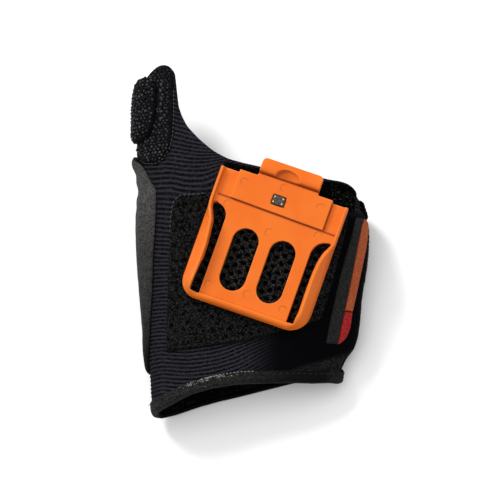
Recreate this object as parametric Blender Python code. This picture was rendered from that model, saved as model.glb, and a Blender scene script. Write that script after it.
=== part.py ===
"""Fingerless right-hand glove with an index-finger trigger and a plastic scanner holder.

The glove lies palm down: X runs across the hand, Y from the wrist to the fingers, Z up.
Tables and sizes are in millimetres; the finished meshes are in metres.
"""
import math

import bmesh
import bpy
import numpy as np
from mathutils import Matrix, Vector

MM = 0.001

GLOVE_LENGTH = 130.0  # wrist edge to the tip of the finger flap
GLOVE_WIDTH = 88.0    # across the knuckles
GLOVE_HEIGHT = 30.0   # back of the hand above the table

WALL = 2.0            # knit of the sleeve
GAP = 0.3             # air between neighbouring pieces
PAD = 1.2             # mesh pad, knuckle band and grip patch
BINDING = 1.2         # one layer of the wrist binding
BINDING_WIDTH = 4.5
BAND = 1.4            # thumb binding
LABEL = 0.7
CLOSURE = 1.6
TRIGGER_RISE = 2.6

HOLDER_SPOT = (0.0932 * GLOVE_WIDTH, 0.4154 * GLOVE_LENGTH)
HOLDER_TURN = -20.0   # about Z
HOLDER_PITCH = 8.0    # top end raised
HOLDER_ROLL = 4.5     # little-finger side lowered

# Cross-sections of the hand. crown is the highest point, the *_z columns are the heights of
# the widest points and of the palm, the *_n columns tell how square each shoulder is.
SECTION_COLUMNS = ("y", "left", "right", "crown_x", "crown_z", "left_z", "right_z", "palm_z",
                   "left_n", "right_n")
SECTIONS = np.array([
    (-0.0615, -0.3966, 0.3636, -0.2045, 0.7067, 0.3000, 0.2267, 0.0533, 2.1, 1.52),
    (0.0154, -0.3966, 0.3659, -0.2045, 0.7133, 0.3167, 0.2267, 0.0533, 2.1, 1.52),
    (0.0769, -0.4000, 0.3705, -0.1875, 0.7267, 0.3500, 0.2400, 0.0533, 2.1, 1.55),
    (0.1231, -0.4136, 0.3977, -0.1591, 0.7333, 0.3833, 0.2667, 0.0500, 2.2, 1.6),
    (0.1615, -0.4250, 0.4477, -0.1250, 0.7367, 0.4067, 0.3067, 0.0333, 2.2, 1.85),
    (0.2154, -0.4295, 0.4693, -0.0795, 0.7467, 0.4167, 0.3333, 0.0000, 2.3, 2.25),
    (0.2923, -0.4386, 0.4841, -0.0227, 0.7800, 0.4333, 0.3500, 0.0000, 2.3, 2.45),
    (0.4000, -0.4523, 0.5034, 0.0227, 0.8433, 0.4500, 0.3667, 0.0000, 2.3, 2.6),
    (0.5077, -0.4591, 0.5000, 0.0455, 0.9133, 0.4667, 0.3833, 0.0000, 2.3, 2.6),
    (0.6000, -0.4568, 0.4682, 0.0341, 0.9700, 0.4833, 0.4000, 0.0000, 2.3, 2.6),
    (0.6769, -0.4614, 0.4477, -0.0341, 1.0000, 0.5000, 0.4333, 0.0000, 2.4, 2.3),
    (0.7385, -0.4591, 0.4477, -0.0909, 0.9933, 0.5167, 0.4333, 0.0000, 2.5, 2.2),
    (0.8000, -0.4545, 0.4477, -0.1364, 0.9600, 0.5167, 0.4333, 0.0000, 2.6, 2.2),
    (0.8615, -0.4534, 0.4477, -0.1591, 0.9200, 0.5167, 0.4333, 0.0000, 2.6, 2.2),
    (0.9231, -0.4500, 0.4477, -0.1818, 0.8767, 0.5167, 0.4333, 0.0000, 2.6, 2.2),
    (1.0000, -0.4432, 0.4477, -0.2045, 0.8333, 0.5167, 0.4333, 0.0000, 2.6, 2.2),
]) * np.array([GLOVE_LENGTH] + 3 * [GLOVE_WIDTH] + 4 * [GLOVE_HEIGHT] + [1, 1])
PALM_N = 3.4

# Outer edge of the wrist binding: x, y on the back of the hand, y on the palm
WRIST_EDGE = np.array([
    (-0.4318, -0.0292, -0.0292), (-0.3864, -0.0285, -0.0285), (-0.3182, -0.0154, -0.0154),
    (-0.2273, 0.0092, 0.0092), (-0.1364, 0.0262, 0.0262), (-0.0455, 0.0385, 0.0385),
    (0.0909, 0.0562, 0.0600), (0.1818, 0.0662, 0.0723), (0.2727, 0.0738, 0.0723),
    (0.3409, 0.0862, 0.0685), (0.4091, 0.1031, 0.0662)
]) * np.array([GLOVE_WIDTH, GLOVE_LENGTH, GLOVE_LENGTH])

# Knuckle edge and finger flap over the back of the hand: x, y
BACK_EDGE = np.array([
    (0.4625, 0.5846), (0.4477, 0.6054), (0.4205, 0.6177), (0.3761, 0.6246), (0.3318, 0.6269),
    (0.2045, 0.6385), (0.0727, 0.6538), (-0.0045, 0.6669), (-0.0682, 0.6808), (-0.1011, 0.6938),
    (-0.1341, 0.7092), (-0.1898, 0.7469), (-0.2398, 0.7869), (-0.2659, 0.8223), (-0.2830, 0.8538),
    (-0.2909, 0.8869), (-0.2966, 0.9346), (-0.3102, 0.9600), (-0.3409, 0.9785), (-0.3750, 0.9738),
    (-0.4080, 0.9569)
]) * np.array([GLOVE_WIDTH, GLOVE_LENGTH])
# The same edge round the thumb side and the palm: section angle, y
PALM_EDGE = np.array([
    (158, 0.9462), (164, 0.9323), (169, 0.9077), (173, 0.8308), (176, 0.7615), (180, 0.7346),
    (188, 0.7246), (200, 0.7077), (225, 0.6615), (270, 0.6231), (315, 0.5885), (345, 0.5808),
    (360, 0.5815)
]) * np.array([1, GLOVE_LENGTH])

# Thumb opening and its binding on the thumb side: centre y, centre z, reach y, up, down
THUMB_HOLE = dict(y=0.423 * GLOVE_LENGTH, z=0.28 * GLOVE_HEIGHT, reach=0.2385 * GLOVE_LENGTH,
                  up=0.147 * GLOVE_HEIGHT, down=0.14 * GLOVE_HEIGHT)
THUMB_BAND = dict(y=0.4154 * GLOVE_LENGTH, z=0.28 * GLOVE_HEIGHT, reach=0.3123 * GLOVE_LENGTH,
                  down=0.2133 * GLOVE_HEIGHT)
# Upper seam of the binding: y, z
THUMB_SEAM = np.array([
    (0.1000, 0.4533), (0.1615, 0.5333), (0.2308, 0.5800), (0.3231, 0.6300), (0.4154, 0.6867),
    (0.5000, 0.7467), (0.6154, 0.8333), (0.6769, 0.8133), (0.7308, 0.7333)
]) * np.array([GLOVE_LENGTH, GLOVE_HEIGHT])

# Panels sewn on the back of the hand, each between four edges of x, y shares
MESH_PANEL = dict(
    left=[(-0.3318, 0.1354), (-0.3352, 0.1969), (-0.3295, 0.3077), (-0.3227, 0.3985), (-0.3136, 0.5077),
          (-0.3023, 0.5654), (-0.2705, 0.5846)],
    right=[(0.3182, 0.2231), (0.3580, 0.3077), (0.4034, 0.4154), (0.4318, 0.4923), (0.4318, 0.5308)],
    lower=[(-0.3318, 0.1354), (-0.1875, 0.1431), (-0.0182, 0.1569), (0.1909, 0.1931), (0.3182, 0.2231)],
    upper=[(-0.2705, 0.5846), (-0.1830, 0.5838), (-0.0682, 0.5923), (0.0909, 0.5769), (0.2500, 0.5500),
           (0.4318, 0.5308)])
KNUCKLE_PANEL = dict(
    left=[(-0.0795, 0.6115), (-0.0795, 0.6738)],
    right=[(0.4568, 0.5338), (0.4534, 0.5831)],
    lower=[(-0.0795, 0.6115), (0.0727, 0.5846), (0.2045, 0.5631), (0.3318, 0.5462), (0.4568, 0.5338)],
    upper=[(-0.0795, 0.6754), (-0.0045, 0.6631), (0.0727, 0.6492), (0.2045, 0.6300), (0.3318, 0.6215),
           (0.4068, 0.6138), (0.4386, 0.6015), (0.4534, 0.5831)])
GRIP_PANEL = dict(
    left=[(-0.4409, 0.7123), (-0.4523, 0.7538), (-0.4489, 0.8154), (-0.4466, 0.8769), (-0.4341, 0.9231),
          (-0.4091, 0.9492)],
    right=[(-0.3341, 0.7062), (-0.3136, 0.7308), (-0.3057, 0.7692), (-0.3068, 0.8615), (-0.3091, 0.9308),
           (-0.3250, 0.9585)],
    lower=[(-0.4409, 0.7123), (-0.4159, 0.6969), (-0.3682, 0.6938), (-0.3341, 0.7062)],
    upper=[(-0.4091, 0.9492), (-0.3750, 0.9662), (-0.3409, 0.9692), (-0.3250, 0.9585)])
# Sewn label strip: y, then the x of its inner edge, of its colour change and of its outer edge
LABEL_LINES = np.array([
    (0.1577, 0.3273, 0.3773, 0.3900), (0.1760, 0.3341, 0.3869, 0.4140),
    (0.2615, 0.3659, 0.4205, 0.4540), (0.3846, 0.4114, 0.4614, 0.4830),
    (0.4615, 0.4409, 0.4750, 0.4900), (0.5130, 0.4530, 0.4728, 0.4870)
]) * np.array([GLOVE_LENGTH] + 3 * [GLOVE_WIDTH])
LABEL_END = 0.248 * GLOVE_LENGTH      # where the red end of the stripe begins

# Trigger pad: outline over the thumb side of the flap as y, right edge x and lower edge z
TRIGGER_OUTLINE = np.array([
    (0.7523, -0.4364, 0.6667), (0.7631, -0.4045, 0.6133), (0.7923, -0.3864, 0.5867),
    (0.8308, -0.3773, 0.5733), (0.8769, -0.3705, 0.5667), (0.9154, -0.3682, 0.5867),
    (0.9385, -0.3818, 0.6267), (0.9508, -0.4045, 0.7000)
]) * np.array([GLOVE_LENGTH, GLOVE_WIDTH, GLOVE_HEIGHT])

HOLDER = dict(width_left=25.5, width_right=24.5, bottom=-25.3, shoulder=23.7, corner=6.8,
              floor=1.2, plate=2.4, rail=7.2, low_wall=3.4, wall=1.3, lean=4.2)
SLOT = dict(half_width=4.9, y_low=-19.1, y_high=4.8, x_left=-7.8, x_right=6.6)
RAISED_PLATE = dict(x_low=-18.4, x_high=17.8, y_low=13.0, y_high=24.6, top=3.4)
TAB = dict(x_low=-11.9, x_high=11.6, y_low=22.5, y_high=31.2, bottom=0.9, top=3.4, corner=1.5,
           notch=4.8, notch_y=27.3, notch_rise=3.3)
CONTACTS = dict(x=-1.1, y=18.0, width=5.2, depth=3.7, rise=0.5, pin=0.4, pin_x=1.8, pin_y=1.0)


def hermite(table, position):
    """Every column of a table at one position of its first column, smoothly."""
    knots = table[:, 0]
    position = min(max(position, knots[0]), knots[-1])
    k = int(min(max(np.searchsorted(knots, position) - 1, 0), len(knots) - 2))
    span = knots[k + 1] - knots[k]
    t = (position - knots[k]) / span

    def slope(i):
        low, high = max(i - 1, 0), min(i + 1, len(knots) - 1)
        return (table[high] - table[low]) / (knots[high] - knots[low])

    a, b = table[k], table[k + 1]
    return ((2 * t**3 - 3 * t**2 + 1) * a + (t**3 - 2 * t**2 + t) * span * slope(k)
            + (3 * t**2 - 2 * t**3) * b + (t**3 - t**2) * span * slope(k + 1))


def section(y):
    return dict(zip(SECTION_COLUMNS, hermite(SECTIONS, y)))


def bare_point(angle, y):
    """Point of the outer knit surface; 0 is the little-finger side, 90 the crown."""
    s = section(y)
    angle = angle % 360.0
    c, d = abs(math.cos(math.radians(angle))), abs(math.sin(math.radians(angle)))
    on_right = angle < 90.0 or angle > 270.0
    side_x, side_z = (s["right"], s["right_z"]) if on_right else (s["left"], s["left_z"])
    if angle <= 180.0:
        n = s["right_n"] if on_right else s["left_n"]
        mid_x, top_z = s["crown_x"], s["crown_z"]
    else:
        n = PALM_N
        mid_x, top_z = 0.5 * (s["left"] + s["right"]), s["palm_z"]
    return np.array([mid_x + (side_x - mid_x) * c ** (2 / n), y,
                     side_z + (top_z - side_z) * d ** (2 / n)])


def surface(angle, y, rise=0.0):
    """Point at a height over the knit surface."""
    point = bare_point(angle, y)
    if rise == 0.0:
        return point
    around = bare_point(angle + 1.0, y) - bare_point(angle - 1.0, y)
    along = bare_point(angle, y + 0.5) - bare_point(angle, y - 0.5)
    normal = np.cross(along, around)
    return point + rise * normal / np.linalg.norm(normal)


def angle_at_x(x, y):
    """Section angle on the back of the hand above a plan position."""
    s = section(y)
    if x >= s["crown_x"]:
        share, n = (x - s["crown_x"]) / (s["right"] - s["crown_x"]), s["right_n"]
        return math.degrees(math.acos(min(share, 0.9999) ** (n / 2)))
    share, n = (s["crown_x"] - x) / (s["crown_x"] - s["left"]), s["left_n"]
    return 180.0 - math.degrees(math.acos(min(share, 0.9999) ** (n / 2)))


def angle_at_z(z, y, right=False):
    """Section angle at a height on the thumb side, or on the little-finger side."""
    s = section(y)
    side_z = s["right_z"] if right else s["left_z"]
    if z >= side_z:
        n = s["right_n"] if right else s["left_n"]
        share = (z - side_z) / (s["crown_z"] - side_z)
        angle = math.degrees(math.asin(min(share, 1.0) ** (n / 2)))
    else:
        share = (side_z - z) / (side_z - s["palm_z"])
        angle = -math.degrees(math.asin(min(share, 1.0) ** (PALM_N / 2)))
    return angle if right else 180.0 - angle


def finish(name, bm, colour, roughness, metallic=0.0):
    """Object with its own material from a bmesh, in millimetres until the end of main."""
    bmesh.ops.remove_doubles(bm, verts=bm.verts, dist=0.002)
    bmesh.ops.recalc_face_normals(bm, faces=bm.faces)
    bmesh.ops.triangulate(bm, faces=bm.faces)
    mesh = bpy.data.meshes.new(name)
    bm.to_mesh(mesh)
    bm.free()
    thing = bpy.data.objects.new(name, mesh)
    bpy.context.scene.collection.objects.link(thing)
    material = bpy.data.materials.new(name)
    material.use_nodes = True
    shader = material.node_tree.nodes["Principled BSDF"]
    shader.inputs["Base Color"].default_value = (*colour, 1.0)
    shader.inputs["Roughness"].default_value = roughness
    shader.inputs["Metallic"].default_value = metallic
    mesh.materials.append(material)
    return thing


def grid_faces(bm, rows, closed_across=False, closed_along=False):
    """Quads over rows of vertices."""
    row_count, column_count = len(rows), len(rows[0])
    for i in range(row_count if closed_along else row_count - 1):
        for j in range(column_count if closed_across else column_count - 1):
            a, b = rows[i], rows[(i + 1) % row_count]
            corners = [a[j], a[(j + 1) % column_count], b[(j + 1) % column_count], b[j]]
            bm.faces.new(corners)


def resample(points, count):
    """Evenly spaced points along a polyline."""
    points = np.asarray(points, float)
    steps = np.concatenate([[0.0], np.cumsum(np.linalg.norm(np.diff(points, axis=0), axis=1))])
    at = np.linspace(0.0, steps[-1], count)
    return np.column_stack([np.interp(at, steps, points[:, k]) for k in range(points.shape[1])])


def panel_points(panel, across, along):
    """Grid of x, y points that fills the four edges of a panel."""
    sizes = np.array([GLOVE_WIDTH, GLOVE_LENGTH])
    left, right = (resample(np.array(panel[k]) * sizes, along) for k in ("left", "right"))
    lower, upper = (resample(np.array(panel[k]) * sizes, across) for k in ("lower", "upper"))
    points = np.zeros((along, across, 2))
    for i, t in enumerate(np.linspace(0, 1, along)):
        for j, s in enumerate(np.linspace(0, 1, across)):
            corners = ((1 - s) * (1 - t) * lower[0] + s * (1 - t) * lower[-1]
                       + (1 - s) * t * upper[0] + s * t * upper[-1])
            points[i, j] = ((1 - t) * lower[j] + t * upper[j] + (1 - s) * left[i]
                            + s * right[i] - corners)
    return points


def sheet(name, places, low, high, colour, roughness):
    """Closed layer between two heights over the knit at a grid of (angle, y) places."""
    bm = bmesh.new()
    along, across = len(places), len(places[0])
    under = [[bm.verts.new(surface(*places[i][j], low)) for j in range(across)]
             for i in range(along)]
    over = [[bm.verts.new(surface(*places[i][j], high(i, j) if callable(high) else high))
             for j in range(across)] for i in range(along)]
    grid_faces(bm, under)
    grid_faces(bm, over)
    for i in (0, along - 1):
        grid_faces(bm, [under[i], over[i]])
    for j in (0, across - 1):
        grid_faces(bm, [[row[j] for row in under], [row[j] for row in over]])
    return finish(name, bm, colour, roughness)


def panel(name, edges, across, along, low, thickness, colour, roughness):
    points = panel_points(edges, across, along)
    places = [[(angle_at_x(x, y), y) for x, y in row] for row in points]
    return sheet(name, places, low, low + thickness, colour, roughness)


def label_strip(name, low, high, first, last, across, along, colour):
    """Part of the label between two lines of LABEL_LINES, from low to high along the hand."""
    places = []
    for y in np.linspace(low, high, along):
        ends = [float(np.interp(y, LABEL_LINES[:, 0], LABEL_LINES[:, k])) for k in (first, last)]
        ends[0] += 0.5 * GAP if first > 1 else 0.0
        ends[1] -= 0.5 * GAP if last < 3 else 0.0
        places.append([(angle_at_x(x, y), y) for x in np.linspace(*ends, across)])
    return sheet(name, places, GAP, GAP + LABEL, colour, 0.8)


def wrist_y(angle):
    x = bare_point(angle, 4.0)[0]
    back, palm = (float(np.interp(x, WRIST_EDGE[:, 0], WRIST_EDGE[:, k])) for k in (1, 2))
    blend = min(max(0.5 + 2.0 * math.sin(math.radians(angle)), 0.0), 1.0)
    return palm + blend * (back - palm)


def far_edges():
    """Far edge of the sleeve as (section angle, y), all the way round."""
    back = [(angle_at_x(x, y), y) for x, y in BACK_EDGE]
    return np.array([(0.0, PALM_EDGE[-1][1])] + back + [tuple(row) for row in PALM_EDGE])


def column_angles():
    """Section angles of the sleeve's columns, closer together where the flap begins."""
    edge = far_edges()
    even = [a for a in range(0, 360, 8) if not 100 < a < 180] + [4, 12, 348, 356]
    fine = list(np.linspace(edge[8][0], edge[-13][0], 5)) + [row[0] for row in edge[9:-6]]
    angles = sorted(set(round(a, 3) for a in even + fine if a < 359.9))
    spaced = [angles[0]]
    for angle in angles[1:]:
        if angle - spaced[-1] > 0.6:
            spaced.append(angle)
    return spaced


def hand_sleeve():
    """Tube of knit whose far edge runs out into the finger flap."""
    edge = far_edges()
    flap_foot = 0.692 * GLOVE_LENGTH
    columns = []
    for angle in column_angles():
        near, far = wrist_y(angle) + 3 * GAP + BINDING, float(np.interp(angle, edge[:, 0], edge[:, 1]))
        foot = min(far, flap_foot)
        bound = near + BINDING_WIDTH - BINDING
        ys = ([near, 0.5 * (near + bound)] + list(np.linspace(bound, foot, 14))
              + list(np.linspace(foot, far, 8))[1:])
        columns.append([(angle, y) for y in ys])
    bm = bmesh.new()
    outer = [[bm.verts.new(surface(a, y)) for a, y in column] for column in columns]
    inner = [[bm.verts.new(surface(a, y, -WALL)) for a, y in column] for column in columns]
    grid_faces(bm, outer, closed_along=True)
    grid_faces(bm, inner, closed_along=True)
    for end in (0, -1):
        grid_faces(bm, [[c[end] for c in outer], [c[end] for c in inner]], closed_across=True)
    sleeve = finish("hand_sleeve", bm, (0.018, 0.018, 0.020), 0.9)
    cut(sleeve, [loop_plug(THUMB_HOLE, -6.0, 6.0)])
    return sleeve


def loop_point(loop, turn, share=1.0):
    """Place on the thumb side along a rounded loop, or inside it."""
    c, s = math.cos(turn), math.sin(turn)
    power = 2 / 2.6
    y = loop["y"] + share * loop["reach"] * math.copysign(abs(c) ** power, c)
    height = loop["up"] if s > 0 else loop["down"]
    z = loop["z"] + share * height * math.copysign(abs(s) ** power, s)
    return angle_at_z(z, y), y


def band_rim(turn):
    """Place of the binding's outer edge: the seam above the opening, a plain loop below."""
    c, s = math.cos(turn), math.sin(turn)
    y = THUMB_BAND["y"] + THUMB_BAND["reach"] * math.copysign(abs(c) ** (2 / 2.6), c)
    up = float(np.interp(y, THUMB_SEAM[:, 0], THUMB_SEAM[:, 1])) - THUMB_BAND["z"]
    z = THUMB_BAND["z"] + (up * s ** 0.45 if s > 0 else -THUMB_BAND["down"] * abs(s) ** 0.6)
    return angle_at_z(z, y), y


def loop_plug(loop, low, high):
    """Solid over the inside of a loop on the thumb side, used as a cutter."""
    bm = bmesh.new()
    turns = [2 * math.pi * k / 28 for k in range(28)]
    centre = loop_point(loop, 0.0, 0.0)
    layers = []
    for rise in (low, high):
        rings = [[bm.verts.new(surface(*loop_point(loop, t, share), rise)) for t in turns]
                 for share in (0.5, 1.0)]
        grid_faces(bm, rings, closed_across=True)
        tip = bm.verts.new(surface(*centre, rise))
        for k in range(len(turns)):
            bm.faces.new([tip, rings[0][k], rings[0][(k + 1) % len(turns)]])
        layers.append(rings[1])
    grid_faces(bm, layers, closed_across=True)
    return finish("cutter", bm, (0.5, 0.5, 0.5), 0.5)


def cut(thing, cutters, operation="DIFFERENCE"):
    """Applies Boolean tools to an object and removes them."""
    for cutter in cutters:
        modifier = thing.modifiers.new("cut", "BOOLEAN")
        modifier.operation = operation
        modifier.solver = "EXACT"
        modifier.object = cutter
        graph = bpy.context.evaluated_depsgraph_get()
        result = bpy.data.meshes.new_from_object(thing.evaluated_get(graph))
        thing.modifiers.remove(modifier)
        old, thing.data = thing.data, result
        result.name = thing.name
        bpy.data.meshes.remove(old)
        bpy.data.objects.remove(cutter)
    bm = bmesh.new()
    bm.from_mesh(thing.data)
    bmesh.ops.remove_doubles(bm, verts=bm.verts, dist=0.002)
    bmesh.ops.dissolve_degenerate(bm, edges=bm.edges, dist=0.001)
    bmesh.ops.triangulate(bm, faces=bm.faces)
    bm.to_mesh(thing.data)
    bm.free()


def swept_ring(name, count, profile, colour, roughness):
    """Closed ring: profile(k) gives the points of the cross-section at one station."""
    bm = bmesh.new()
    rows = [[bm.verts.new(point) for point in profile(k)] for k in range(count)]
    grid_faces(bm, rows, closed_across=True, closed_along=True)
    return finish(name, bm, colour, roughness)


def wrist_binding():
    """Strip folded over the wrist edge."""
    angles = column_angles()

    def profile(k):
        angle = angles[k]
        edge = wrist_y(angle)
        shape = [(GAP + BINDING, 0.3 * BINDING), (GAP + BINDING, BINDING_WIDTH),
                 (GAP, BINDING_WIDTH), (GAP, BINDING), (-WALL, BINDING),
                 (-WALL, 0.3 * BINDING), (-0.5 * WALL, 0.0), (0.5 * BINDING, 0.0)]
        return [surface(angle, edge + along, rise) for rise, along in shape]

    return swept_ring("wrist_binding", len(angles), profile, (0.036, 0.035, 0.036), 0.7)


def thumb_binding():
    """Band on the knit round the thumb opening."""
    count = 44
    low, high = GAP + 0.15, GAP + 0.15 + BAND

    def profile(k):
        turn = 2 * math.pi * k / count
        hole, rim = loop_point(THUMB_HOLE, turn), band_rim(turn)
        points = []
        for share, rise in ((0.03, low), (0.3, low), (0.65, low), (1.0, low),
                            (1.0, high - 0.4), (0.94, high), (0.65, high), (0.3, high),
                            (0.03, high)):
            mixed_y = hole[1] + share * (rim[1] - hole[1])
            z_hole, z_rim = bare_point(*hole)[2], bare_point(*rim)[2]
            mixed_z = z_hole + share * (z_rim - z_hole)
            points.append(surface(angle_at_z(mixed_z, mixed_y), mixed_y, rise))
        return points

    return swept_ring("thumb_binding", count, profile, (0.045, 0.044, 0.044), 0.7)


def trigger_pad():
    """Domed pad over the thumb side of the finger flap."""
    across, along = 9, 13
    ys = resample(TRIGGER_OUTLINE, along)
    base = GAP + PAD + GAP
    places = []
    for y, right_x, low_z in ys:
        first, last = angle_at_x(right_x, y), angle_at_z(low_z, y)
        places.append([(first + (last - first) * j / (across - 1), y) for j in range(across)])

    def dome(i, j):
        s, t = 2 * j / (across - 1) - 1, 2 * i / (along - 1) - 1
        return base + 0.7 + TRIGGER_RISE * (1 - abs(s) ** 2.6) ** 0.6 * (1 - abs(t) ** 3.4) ** 0.6

    return sheet("trigger_pad", places, base, dome, (0.016, 0.016, 0.017), 0.8)


def closure_edge():
    """Rough edge of the closure strap on the little-finger side."""
    heights = np.linspace(0.517, 0.1, 6) * GLOVE_HEIGHT
    ys = np.linspace(0.535, 0.577, 5) * GLOVE_LENGTH
    places = [[(angle_at_z(z, y, right=True), y) for z in heights] for y in ys]
    return sheet("closure_edge", places, GAP, GAP + CLOSURE, (0.012, 0.012, 0.012), 0.95)


def prism(outline, low, high, name="solid", colour=(0.5, 0.5, 0.5), roughness=0.5, metallic=0.0):
    """Upright solid over a plan outline in the holder's own frame, millimetres."""
    bm = bmesh.new()
    bottom = [bm.verts.new((x, y, low)) for x, y in outline]
    top = [bm.verts.new((x, y, high)) for x, y in outline]
    bm.faces.new(bottom)
    bm.faces.new(top)
    grid_faces(bm, [bottom, top], closed_across=True)
    return finish(name, bm, colour, roughness, metallic)


def arc(x, y, radius, first, last, count):
    turns = np.radians(np.linspace(first, last, count))
    return [(x + radius * math.cos(t), y + radius * math.sin(t)) for t in turns]


def box_outline(x_low, x_high, y_low, y_high):
    return [(x_low, y_low), (x_high, y_low), (x_high, y_high), (x_low, y_high)]


def holder_path():
    """Stations of the holder wall from one shoulder round the bottom to the other:
    outer x, outer y, inward direction and how far the wall has grown into a rail."""
    h = HOLDER
    left, right, low, high, r = (-h["width_left"], h["width_right"], h["bottom"], h["shoulder"],
                                 h["corner"])
    stations = []
    for y in (high, 18.0, 12.0, 9.5, 8.0, 6.0, 4.0, 2.0, 0.0, -10.0):
        stations.append((left, y, 0.0, min(max((9.5 - y) / 9.0, 0.0), 1.0)))
    for turn in np.linspace(180, 270, 8):
        t = math.radians(turn)
        stations.append((left + r + r * math.cos(t), low + r + r * math.sin(t), turn - 180, 1.0))
    for turn in np.linspace(270, 360, 8):
        t = math.radians(turn)
        stations.append((right - r + r * math.cos(t), low + r + r * math.sin(t), turn - 180, 1.0))
    for y in (-10.0, 0.0, 2.0, 4.0, 6.0, 8.0, 9.5, 12.0, 18.0, high):
        stations.append((right, y, 180.0, min(max((9.5 - y) / 9.0, 0.0), 1.0)))
    return stations


def holder_wall():
    h = HOLDER
    bm = bmesh.new()
    rows = []
    for x, y, inward, grown in holder_path():
        smooth = grown * grown * (3 - 2 * grown)
        height = h["low_wall"] + (h["rail"] - h["low_wall"]) * smooth
        lean = h["lean"] * smooth * (0.62 if 60 < inward < 120 else 1.0)
        dx, dy = math.cos(math.radians(inward)), math.sin(math.radians(inward))

        def at(depth, z):
            return bm.verts.new((x + depth * dx, y + depth * dy, z))

        rows.append([at(0, 0), at(0, 0.6), at(lean, height - 0.4), at(lean + 0.4, height),
                     at(lean + h["wall"], height), at(lean + h["wall"], height - 0.5),
                     at(h["wall"] + 0.4, 0.6), at(h["wall"] + 0.4, 0)])
    grid_faces(bm, rows, closed_across=True)
    bm.faces.new(rows[0])
    bm.faces.new(rows[-1])
    return finish("wall", bm, (0.5, 0.5, 0.5), 0.5)


def stadium(x, y_low, y_high, radius, count=11):
    return (arc(x, y_high - radius, radius, 0, 180, count)
            + arc(x, y_low + radius, radius, 180, 360, count))


def holder_place():
    """Where the holder lies: lowered onto the mesh pad until only the gap is left."""
    turned = (Matrix.Translation(Vector((*HOLDER_SPOT, 0.0)))
              @ Matrix.Rotation(math.radians(HOLDER_TURN), 4, "Z")
              @ Matrix.Rotation(math.radians(HOLDER_ROLL), 4, "Y")
              @ Matrix.Rotation(math.radians(HOLDER_PITCH), 4, "X"))
    lift = 0.0
    for x in np.linspace(-HOLDER["width_left"], HOLDER["width_right"], 14):
        for y in np.linspace(HOLDER["bottom"], HOLDER["shoulder"], 14):
            under = turned @ Vector((x, y, 0.0))
            cover = surface(angle_at_x(under.x, under.y), under.y, GAP + PAD)
            lift = max(lift, cover[2] - under.z)
    return Matrix.Translation(Vector((0.0, 0.0, lift + GAP))) @ turned


def scanner_holder(place):
    h, plate, tab, slot, pads = HOLDER, RAISED_PLATE, TAB, SLOT, CONTACTS
    left, right, low, high, r = (-h["width_left"], h["width_right"], h["bottom"], h["shoulder"],
                                 h["corner"])
    inset = 0.5
    floor = ([(left + inset, high), (left + inset, low + r)]
             + arc(left + r, low + r, r - inset, 180, 270, 8)
             + arc(right - r, low + r, r - inset, 270, 360, 8)
             + [(right - inset, high)])
    holder = prism(floor, 0.0, h["floor"], "scanner_holder", (0.90, 0.17, 0.021), 0.38)
    middle = ([(-17.5, low + 3.4)] + [(16.2, low + 3.4)] + [(16.4, 4.4), (18.4, 7.4), (22.4, 9.0),
              (right - 1.3, 9.2), (right - 1.3, 13.4), (left + 1.3, 13.4), (left + 1.3, 9.4),
              (-22.4, 9.4), (-19.2, 7.4), (-17.5, 4.4)])
    raised = box_outline(plate["x_low"], plate["x_high"], plate["y_low"], plate["y_high"])
    sides = box_outline(left + 0.7, right - 0.7, plate["y_low"], high - 0.01)
    x0, x1, y0, y1, c = tab["x_low"], tab["x_high"], tab["y_low"], tab["y_high"], tab["corner"]
    tongue = ([(x0, y0), (x1, y0)] + arc(x1 - c, y1 - c, c, 0, 90, 5)
              + arc(x0 + c, y1 - c, c, 90, 180, 5))
    cut(holder, [holder_wall(), prism(middle, 0.2, h["plate"]),
                 prism(sides, 0.2, h["plate"] - 0.5), prism(raised, 0.2, plate["top"]),
                 prism(tongue, tab["bottom"], tab["top"])], "UNION")
    notch = [((x0 + x1) / 2 + tab["notch"] * math.cos(t),
              tab["notch_y"] + tab["notch_rise"] * math.sin(t)) for t in np.linspace(0, math.pi, 13)]
    block = box_outline(pads["x"] - pads["width"] / 2 - GAP, pads["x"] + pads["width"] / 2 + GAP,
                        pads["y"] - pads["depth"] / 2 - GAP, pads["y"] + pads["depth"] / 2 + GAP)
    left_gap = ([(-22.5, low + 3.2), (-17.5, low + 3.2), (-17.5, 4.0)]
                + arc(-22.5, 4.0, 5.0, 20, 70, 5) + [(-22.5, 9.2)])
    right_gap = ([(21.5, low + 3.2), (21.5, 9.2)] + arc(21.5, 4.0, 5.0, 110, 160, 5)
                 + [(16.3, 4.0), (16.3, low + 3.2)])
    cut(holder, [prism(left_gap, -2, h["plate"] + 0.01), prism(right_gap, -2, h["plate"] + 0.01),
                 prism(stadium(slot["x_left"], slot["y_low"], slot["y_high"],
                               slot["half_width"]), -2, 8),
                 prism(stadium(slot["x_right"], slot["y_low"], slot["y_high"],
                               slot["half_width"]), -2, 8),
                 prism(notch, tab["top"] - 1.2, 8),
                 prism(box_outline(x0 + 1.2, x1 - 1.2, 25.8, 26.4), tab["top"] - 0.7, 8),
                 prism(block, plate["top"] - 1.6, 8)])
    holder.data.transform(place)


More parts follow.
